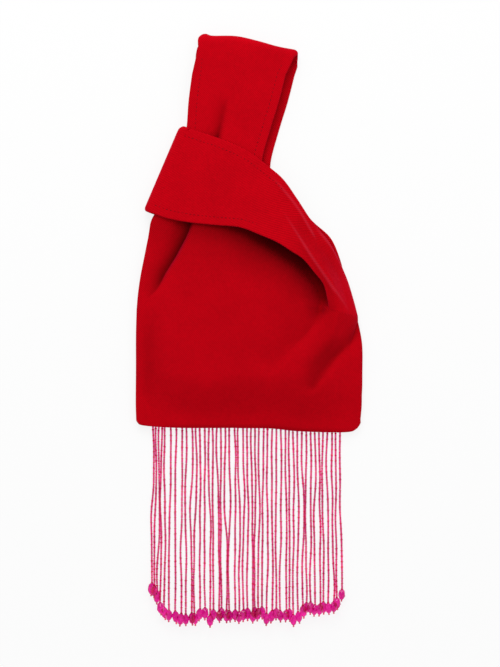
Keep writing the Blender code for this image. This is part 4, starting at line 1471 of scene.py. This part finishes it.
def grown(source, tree, values, name):
    """The plain mesh that a tree makes from an object, which it takes the place of."""
    modifier = source.modifiers.new(name, "NODES")
    modifier.node_group = tree
    for item in tree.interface.items_tree:
        if item.in_out == "INPUT" and item.name in values:
            modifier[item.identifier] = values[item.name]
    shape = plain_mesh(source, name)
    bpy.data.objects.remove(source)
    return placed(name, shape)


def paths_object(name, paths):
    """One curve object with a straight-line run for every path."""
    data = bpy.data.curves.new(name, "CURVE")
    data.dimensions = "3D"
    for path in paths:
        run = data.splines.new("POLY")
        run.points.add(len(path) - 1)
        run.points.foreach_set("co", np.column_stack([path, np.ones(len(path))]).ravel())
    return placed(name, data)


def turned_shape(name, profile, sides, twist=0.0, smooth=True):
    """A closed shape turned about Z from rings of (height, radius), its ends closed to a point."""
    points = [(0, 0, profile[0][0])]
    for k, (height, radius) in enumerate(profile):
        for side in range(sides):
            angle = 2 * math.pi * (side + twist * k) / sides
            points.append((radius * math.cos(angle), radius * math.sin(angle), height))
    points.append((0, 0, profile[-1][0]))
    faces = [(0, 1 + (s + 1) % sides, 1 + s) for s in range(sides)]
    for k in range(len(profile) - 1):
        a = 1 + k * sides
        b = a + sides
        for s in range(sides):
            t = (s + 1) % sides
            if twist:
                faces.append((a + s, a + t, b + s))
                faces.append((a + t, b + t, b + s))
            else:
                faces.append((a + s, a + t, b + t, b + s))
    last = 1 + (len(profile) - 1) * sides
    faces += [(len(points) - 1, last + s, last + (s + 1) % sides) for s in range(sides)]
    data = bpy.data.meshes.new(name)
    data.from_pydata(points, [], faces)
    data.polygons.foreach_set("use_smooth", np.full(len(faces), smooth))
    return placed(name, data)


# The fringe


def strand_places(count):
    """Where each strand leaves the hem, across the bag: closer together at the left end."""
    shares = np.interp(np.linspace(0, 1, count), *zip(*STRAND_SPACING))
    uneven = np.random.RandomState(4).uniform(-1, 1, count)
    uneven[: count // 4] = 0
    return FRINGE_MIDDLE + (shares - 0.5) * FRINGE_WIDTH + PLACE_SPREAD * uneven


def strand_lengths(count):
    """The length of each strand to its drop: the fringe is shorter towards both ends."""
    line = np.interp(np.linspace(0, 1, count), *zip(*FRINGE_LINE))
    uneven = np.random.RandomState(9).uniform(0, 1, count)
    return STRAND_LENGTH + line - LENGTH_SPREAD * uneven


def strand_paths(count, bead_width, drop_width):
    """The run of each strand from the hem to its drop, with its slow sway and its small kinks."""
    draw = np.random.RandomState(21)
    places = strand_places(count)
    lengths = strand_lengths(count)
    sway = np.convolve(draw.uniform(-1, 1, count + 4), np.ones(5) / 5, "valid")
    ends = places + SWAY * sway + END_SPREAD * draw.uniform(-1, 1, count)
    shares = np.linspace(0, 1, 40)
    hang = np.sin(math.pi * np.clip(shares * 1.02, 0, 1)) ** 0.5
    starts = HEM_OVERHANG + np.random.RandomState(5).uniform(0, START_SPREAD, count)
    paths = []
    low = bead_width / 2 + TABLE_GAP
    for k in range(count):
        drop_level = drop_width / 2 + TABLE_GAP + (k % 2) * drop_width * DROP_LIFT
        waves = sum(
            draw.uniform(*WAVE_STRENGTH)
            * np.sin(math.pi * shares * turns + draw.uniform(0, FULL_TURN))
            / turns
            for turns in WAVE_TURNS
        )
        x = places[k] + (ends[k] - places[k]) * ease(shares) + WAVE_WIDTH * waves * hang
        y = hem_at(places[k]) + starts[k] - shares * (lengths[k] + starts[k])
        levels = (*HEM_LEVELS, low, low, drop_level * 0.8, drop_level)
        level = np.interp(shares, LEVEL_STOPS, levels)
        lift = (k % 2) * STRAND_LIFT * np.sin(math.pi * np.clip(shares * 1.1, 0, 1)) ** 2
        paths.append(np.column_stack([x, y, level + lift]))
    return paths


def hanging_points(name, places, turns, sizes):
    """An object of single points, each with a turn and a size of its own."""
    data = bpy.data.meshes.new(name)
    data.from_pydata([tuple(p) for p in places], [], [])
    turn = data.attributes.new("turn", "FLOAT_VECTOR", "POINT")
    turn.data.foreach_set("vector", np.array(turns, np.float32).ravel())
    size = data.attributes.new("size", "FLOAT", "POINT")
    size.data.foreach_set("value", np.array(sizes, np.float32))
    return placed(name, data)


def rounded_bead(name, length, width, sides, cut):
    """A short bead: a tube with its two rims rounded off by a cut."""
    half = length / 2
    rim = width * RIM_SHARE
    profile = ((-half, rim), (-half + cut, width / 2), (half - cut, width / 2), (half, rim))
    return turned_shape(name, profile, sides)


def cut_drop(name, length, width):
    """A glass drop with cut facets, pointed at both ends, which hangs down from its upper point."""
    profile = [(up * length, share * width) for up, share in DROP_RINGS]
    return turned_shape(name, profile, 6, twist=0.5, smooth=False)


def strung(shape, paths, values, name):
    """Copies of a shape along paths, as one plain mesh."""
    values = {"Copied object": shape, "Seed": 5, **values}
    made = grown(paths_object(name, paths), spaced_tree(), values, name)
    bpy.data.objects.remove(shape)
    return made


# Operators


def body_of_bag(made, slot, *nodes):
    """A finished piece rides on the bag and stands for its solids; its slot is not used."""
    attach(made, "root")
    if nodes:
        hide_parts(*nodes)
    return made


# How finely the front panel is made: rows of its body, columns left and right of the crease,
# columns of its short side, and steps between the stations of its long and of its short strap
BODY_ROWS = 80
LEFT_COLUMNS = 26
RIGHT_COLUMNS = 76
SHORT_COLUMNS = 50
LONG_STEPS = 9
SHORT_STEPS = 11
# The same rows and columns for the back and the linings, and one number of steps for both of the
# back's straps
BACK_MESH = (30, 14, 34, 24)
BACK_STEPS = 5
FRONT_LINING_MESH = (40, 13, 38, 25)
BACK_LINING_MESH = (30, 8, 18, 12)
# Columns and rows of the tape
TAPE_MESH = (90, 5)


class KNOTBAG_OT_front_panel(bpy.types.Operator):
    """Makes the front panel with its hand loop and its knotted band"""

    bl_idname = "knotbag.front_panel"
    bl_label = "Front panel"

    def execute(self, context):
        cloth = context.scene.knot_bag_cloth
        look = woven("red_twill", cloth.colour, cloth.twill, sheen=0.6, rib=0.21)
        body, count = front_body(BODY_ROWS, LEFT_COLUMNS, RIGHT_COLUMNS, SHORT_COLUMNS)
        long_strap = front_long_strap(LONG_STEPS, LEFT_COLUMNS, RIGHT_COLUMNS)
        short_strap = front_short_strap(SHORT_STEPS, SHORT_COLUMNS)
        made = panel_object("front_cloth", body, count, long_strap, short_strap, look)
        body_of_bag(made, "red_cloth", "front_panel")
        return {"FINISHED"}


class KNOTBAG_OT_back_panel(bpy.types.Operator):
    """Makes the back panel, flat on the table, with the back halves of its straps"""

    bl_idname = "knotbag.back_panel"
    bl_label = "Back panel"

    def execute(self, context):
        look = bpy.data.materials["red_twill"]
        _, left_count, right_count, short_count = BACK_MESH
        body, count = back_body(*BACK_MESH)
        long_strap = back_long_strap(BACK_STEPS, left_count, right_count)
        short_strap = back_short_strap(BACK_STEPS, short_count)
        made = panel_object("back_cloth", body, count, long_strap, short_strap, look)
        body_of_bag(made, "red_cloth", "back_panel")
        return {"FINISHED"}


class KNOTBAG_OT_linings(bpy.types.Operator):
    """Makes the front and the back lining of the pouch"""

    bl_idname = "knotbag.linings"
    bl_label = "Linings"

    def execute(self, context):
        cloth = context.scene.knot_bag_cloth
        pitch = cloth.twill * LINING_PITCH
        look = woven("lining_weave", cloth.lining_colour, pitch, sheen=0.15, rib=0.05)
        pieces = (
            ("front_lining", lining_front_grid(*FRONT_LINING_MESH), "lining_front", FRONT_LINING_FLAT),
            ("back_lining", lining_back_grid(*BACK_LINING_MESH), "lining_back", BACK_LINING_FLAT),
        )
        for name, grid, node, flat in pieces:
            made = plain_object(name, grid, LINING_CLOTH, look)
            body_of_bag(made, "lining_cloth", node)
        return {"FINISHED"}


class KNOTBAG_OT_topstitches(bpy.types.Operator):
    """Makes the topstitching along the edges of the hand loop and of the band"""

    bl_idname = "knotbag.topstitches"
    bl_label = "Topstitches"

    def execute(self, context):
        cloth = context.scene.knot_bag_cloth
        long_strap = front_long_strap(LONG_STEPS, LEFT_COLUMNS, RIGHT_COLUMNS)
        short_strap = front_short_strap(SHORT_STEPS, SHORT_COLUMNS)
        stitch = rounded_bead("stitch", cloth.stitch_length, STITCH_WIDTH, 6, STITCH_CUT)
        made = strung(
            stitch,
            stitch_lines(long_strap, short_strap, SHORT_STEPS, cloth.stitch_inset),
            {
                "Pitch": cloth.stitch_pitch,
                "Size spread": 0.15,
                "Tilt spread": 0.12,
                "Finish": thread_look("stitch_thread", cloth.stitch_colour),
            },
            "topstitches",
        )
        body_of_bag(made, "red_cloth")
        return {"FINISHED"}


class KNOTBAG_OT_header_tape(bpy.types.Operator):
    """Makes the header tape in the hem, which the strands hang from"""

    bl_idname = "knotbag.header_tape"
    bl_label = "Header tape"

    def execute(self, context):
        fringe = context.scene.knot_bag_fringe
        look = woven("ribbon_weave", fringe.seed_colour, TAPE_PITCH, sheen=0.1, rib=0.08)
        made = plain_object("header_tape", tape_grid(*TAPE_MESH), TAPE, look)
        body_of_bag(made, "tape_ribbon", "fringe_tape")
        return {"FINISHED"}


class KNOTBAG_OT_strands(bpy.types.Operator):
    """Makes the strands of long and small glass beads and the threads through them"""

    bl_idname = "knotbag.strands"
    bl_label = "Beaded strands"

    def execute(self, context):
        fringe = context.scene.knot_bag_fringe
        paths = strand_paths(fringe.strands, fringe.seed_width, fringe.drop_width)
        pitch = fringe.bugle_length + fringe.seed_length + BEAD_SLACK
        bugles = strung(
            rounded_bead("bugle", fringe.bugle_length, fringe.bugle_width, 8, BUGLE_CUT),
            paths,
            {
                "Pitch": pitch,
                "Shift": pitch / 2,
                "Left out at the end": 1,
                "Size spread": 0.03,
                "Tilt spread": 0.03,
                "Finish": bead_glass("bugle_glass", fringe.bugle_colour, **BUGLE_GLASS),
            },
            "bugle_beads",
        )
        nodes = [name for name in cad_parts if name.startswith("strand_")]
        body_of_bag(bugles, "pink_glass", *nodes)
        seeds = strung(
            rounded_bead("seed", fringe.seed_length, fringe.seed_width, 8, SEED_CUT),
            paths,
            {
                "Pitch": pitch,
                "Size spread": 0.12,
                "Tilt spread": 0.15,
                "Finish": bead_glass("seed_glass", fringe.seed_colour, **SEED_GLASS),
            },
            "seed_beads",
        )
        body_of_bag(seeds, "pink_glass")
        thread = grown(
            paths_object("bead_threads", paths),
            tube_tree(),
            {"Width": THREAD_WIDTH, "Finish": thread_look("bead_thread", BEAD_THREAD_COLOUR)},
            "bead_threads",
        )
        body_of_bag(thread, "pink_glass")
        return {"FINISHED"}


class KNOTBAG_OT_drops(bpy.types.Operator):
    """Makes the cut glass drops and the end beads below them"""

    bl_idname = "knotbag.drops"
    bl_label = "Glass drops"

    def execute(self, context):
        fringe = context.scene.knot_bag_fringe
        paths = strand_paths(fringe.strands, fringe.seed_width, fringe.drop_width)
        draw = np.random.RandomState(12)
        ends = []
        below = []
        turns = []
        for path in paths:
            run = path[-1] - path[-3]
            lean = math.atan2(run[0], -run[1]) + draw.uniform(-DROP_LEAN, DROP_LEAN)
            ends.append(path[-1])
            turns.append((-math.pi / 2, draw.uniform(0, math.pi), lean))
            below.append(path[-1] + (DROP_LENGTH * math.sin(lean), -DROP_LENGTH * math.cos(lean), 0))
        sizes = draw.uniform(*DROP_SIZES, len(paths))
        below = [e + (b - e) * s for e, b, s in zip(ends, below, sizes)]
        pieces = (
            (
                "glass_drops",
                cut_drop("drop", DROP_LENGTH, fringe.drop_width),
                ends,
                bead_glass("drop_glass", fringe.drop_colour, **DROP_GLASS),
            ),
            (
                "end_beads",
                turned_shape("stop", END_BEAD, 10),
                below,
                bead_glass("end_bead_glass", END_BEAD_COLOUR, **END_BEAD_GLASS),
            ),
        )
        for name, shape, places, look in pieces:
            points = hanging_points(name, places, turns, sizes)
            made = grown(points, drop_tree(), {"Copied object": shape, "Finish": look}, name)
            bpy.data.objects.remove(shape)
            body_of_bag(made, "pink_glass")
        return {"FINISHED"}


# The studio: the table, a little below the bag, the share of its light that is plain white, the
# lamps, and the camera's sensor, the length that it sees and its place over the bag
TABLE_SIZE = 12.0
TABLE_DROP = 0.0003
TABLE_GLOW = 0.84
KEY_PLACE = (-0.25, 1.4, 1.25)
KEY_SIZE = 1.0
FILL_PLACE = (0.9, 0.9, 1.6)
FILL_SIZE = 1.2
SENSOR = 36.0
VIEW_LENGTH = 0.667
CAMERA_PLACE = (0.0015, -0.004)


def white_table():
    """A dull white table that looks plain white to the camera but takes the bag's shadow."""
    look, tree, shader = new_look("white_table")
    fill(tree, shader, {"Base Color": (0.86, 0.86, 0.86, 1), "Roughness": 0.9, "Specular IOR Level": 0.0})
    rays = add_node(tree, "ShaderNodeLightPath").outputs
    seen = calc(tree, "MAXIMUM", rays["Is Camera Ray"], rays["Is Glossy Ray"])
    seen = calc(tree, "MAXIMUM", seen, rays["Is Transmission Ray"])
    white = add_node(tree, "ShaderNodeEmission", {"Color": (1, 1, 1, 1), "Strength": 1.0}).outputs[0]
    inputs = {0: calc(tree, "MULTIPLY", seen, TABLE_GLOW), 1: shader.outputs[0], 2: white}
    mixed = add_node(tree, "ShaderNodeMixShader", inputs).outputs[0]
    fill(tree, tree.nodes["Material Output"], {"Surface": mixed})
    return look


def plain_sky(strength):
    """Light from all round, which the camera sees as white."""
    world = bpy.data.worlds.new("plain_sky")
    world.use_nodes = True
    tree = world.node_tree
    tree.nodes.clear()
    rays = add_node(tree, "ShaderNodeLightPath").outputs
    soft, bright = (
        add_node(tree, "ShaderNodeBackground", {"Color": (1, 1, 1, 1), "Strength": power}).outputs[0]
        for power in (strength, 1.0)
    )
    seen = calc(tree, "MAXIMUM", rays["Is Camera Ray"], rays["Is Transmission Ray"])
    mixed = add_node(tree, "ShaderNodeMixShader", {0: seen, 1: soft, 2: bright}).outputs[0]
    add_node(tree, "ShaderNodeOutputWorld", {"Surface": mixed})
    return world


class KNOTBAG_OT_stage(bpy.types.Operator):
    """Makes the table, the lamps, the sky and the camera"""

    bl_idname = "knotbag.stage"
    bl_label = "Studio"

    def execute(self, context):
        studio = context.scene.knot_bag_studio
        context.scene.view_settings.view_transform = "Standard"
        half = TABLE_SIZE / 2
        corners = ((-half, -half), (half, -half), (half, half), (-half, half))
        table = bpy.data.meshes.new("table_top")
        table.from_pydata([(x, y, -TABLE_DROP) for x, y in corners], [], [(0, 1, 2, 3)])
        table.materials.append(white_table())
        placed("floor", table)
        context.scene.world = plain_sky(studio.sky)
        lamps = (
            ("key_lamp", KEY_PLACE, studio.key_power, KEY_SIZE),
            ("fill_lamp", FILL_PLACE, studio.fill_power, FILL_SIZE),
        )
        for name, place, power, size in lamps:
            lamp = bpy.data.lights.new(name, "AREA")
            lamp.energy = power
            lamp.size = size
            made = placed(name, lamp)
            made.location = place
            made.rotation_euler = (-Vector(place)).to_track_quat("-Z", "Y").to_euler()
        lens = bpy.data.cameras.new("camera")
        lens.sensor_width = SENSOR
        lens.lens = SENSOR * studio.camera_height / VIEW_LENGTH
        lens.clip_start = 0.1
        lens.clip_end = 50
        camera = placed("camera", lens)
        camera.location = (*CAMERA_PLACE, studio.camera_height)
        context.scene.camera = camera
        return {"FINISHED"}


class KNOTBAG_PT_sidebar(bpy.types.Panel):
    """The knot bag's steps and sizes in the 3D view's sidebar"""

    bl_idname = "KNOTBAG_PT_sidebar"
    bl_label = "Knot bag"
    bl_space_type = "VIEW_3D"
    bl_region_type = "UI"
    bl_category = "Knot bag"

    def draw(self, context):
        column = self.layout.column(align=True)
        for step in STEPS:
            column.operator(step.bl_idname)
        for group in (
            context.scene.knot_bag_cloth,
            context.scene.knot_bag_fringe,
            context.scene.knot_bag_studio,
        ):
            box = self.layout.box().column()
            for name in group.__annotations__:
                box.prop(group, name)


# The steps in the order in which they are taken
STEPS = (
    KNOTBAG_OT_front_panel,
    KNOTBAG_OT_back_panel,
    KNOTBAG_OT_linings,
    KNOTBAG_OT_topstitches,
    KNOTBAG_OT_header_tape,
    KNOTBAG_OT_strands,
    KNOTBAG_OT_drops,
    KNOTBAG_OT_stage,
)
CLASSES = (KnotBagCloth, KnotBagFringe, KnotBagStudio, *STEPS, KNOTBAG_PT_sidebar)


def register():
    for kind in CLASSES:
        bpy.utils.register_class(kind)
    bpy.types.Scene.knot_bag_cloth = PointerProperty(type=KnotBagCloth)
    bpy.types.Scene.knot_bag_fringe = PointerProperty(type=KnotBagFringe)
    bpy.types.Scene.knot_bag_studio = PointerProperty(type=KnotBagStudio)


def unregister():
    del bpy.types.Scene.knot_bag_studio
    del bpy.types.Scene.knot_bag_fringe
    del bpy.types.Scene.knot_bag_cloth
    for kind in reversed(CLASSES):
        bpy.utils.unregister_class(kind)


def main():
    register()
    bpy.ops.knotbag.front_panel()
    bpy.ops.knotbag.back_panel()
    bpy.ops.knotbag.linings()
    bpy.ops.knotbag.topstitches()
    bpy.ops.knotbag.header_tape()
    bpy.ops.knotbag.strands()
    bpy.ops.knotbag.drops()
    bpy.ops.knotbag.stage()


if __name__ == "__main__":
    main()
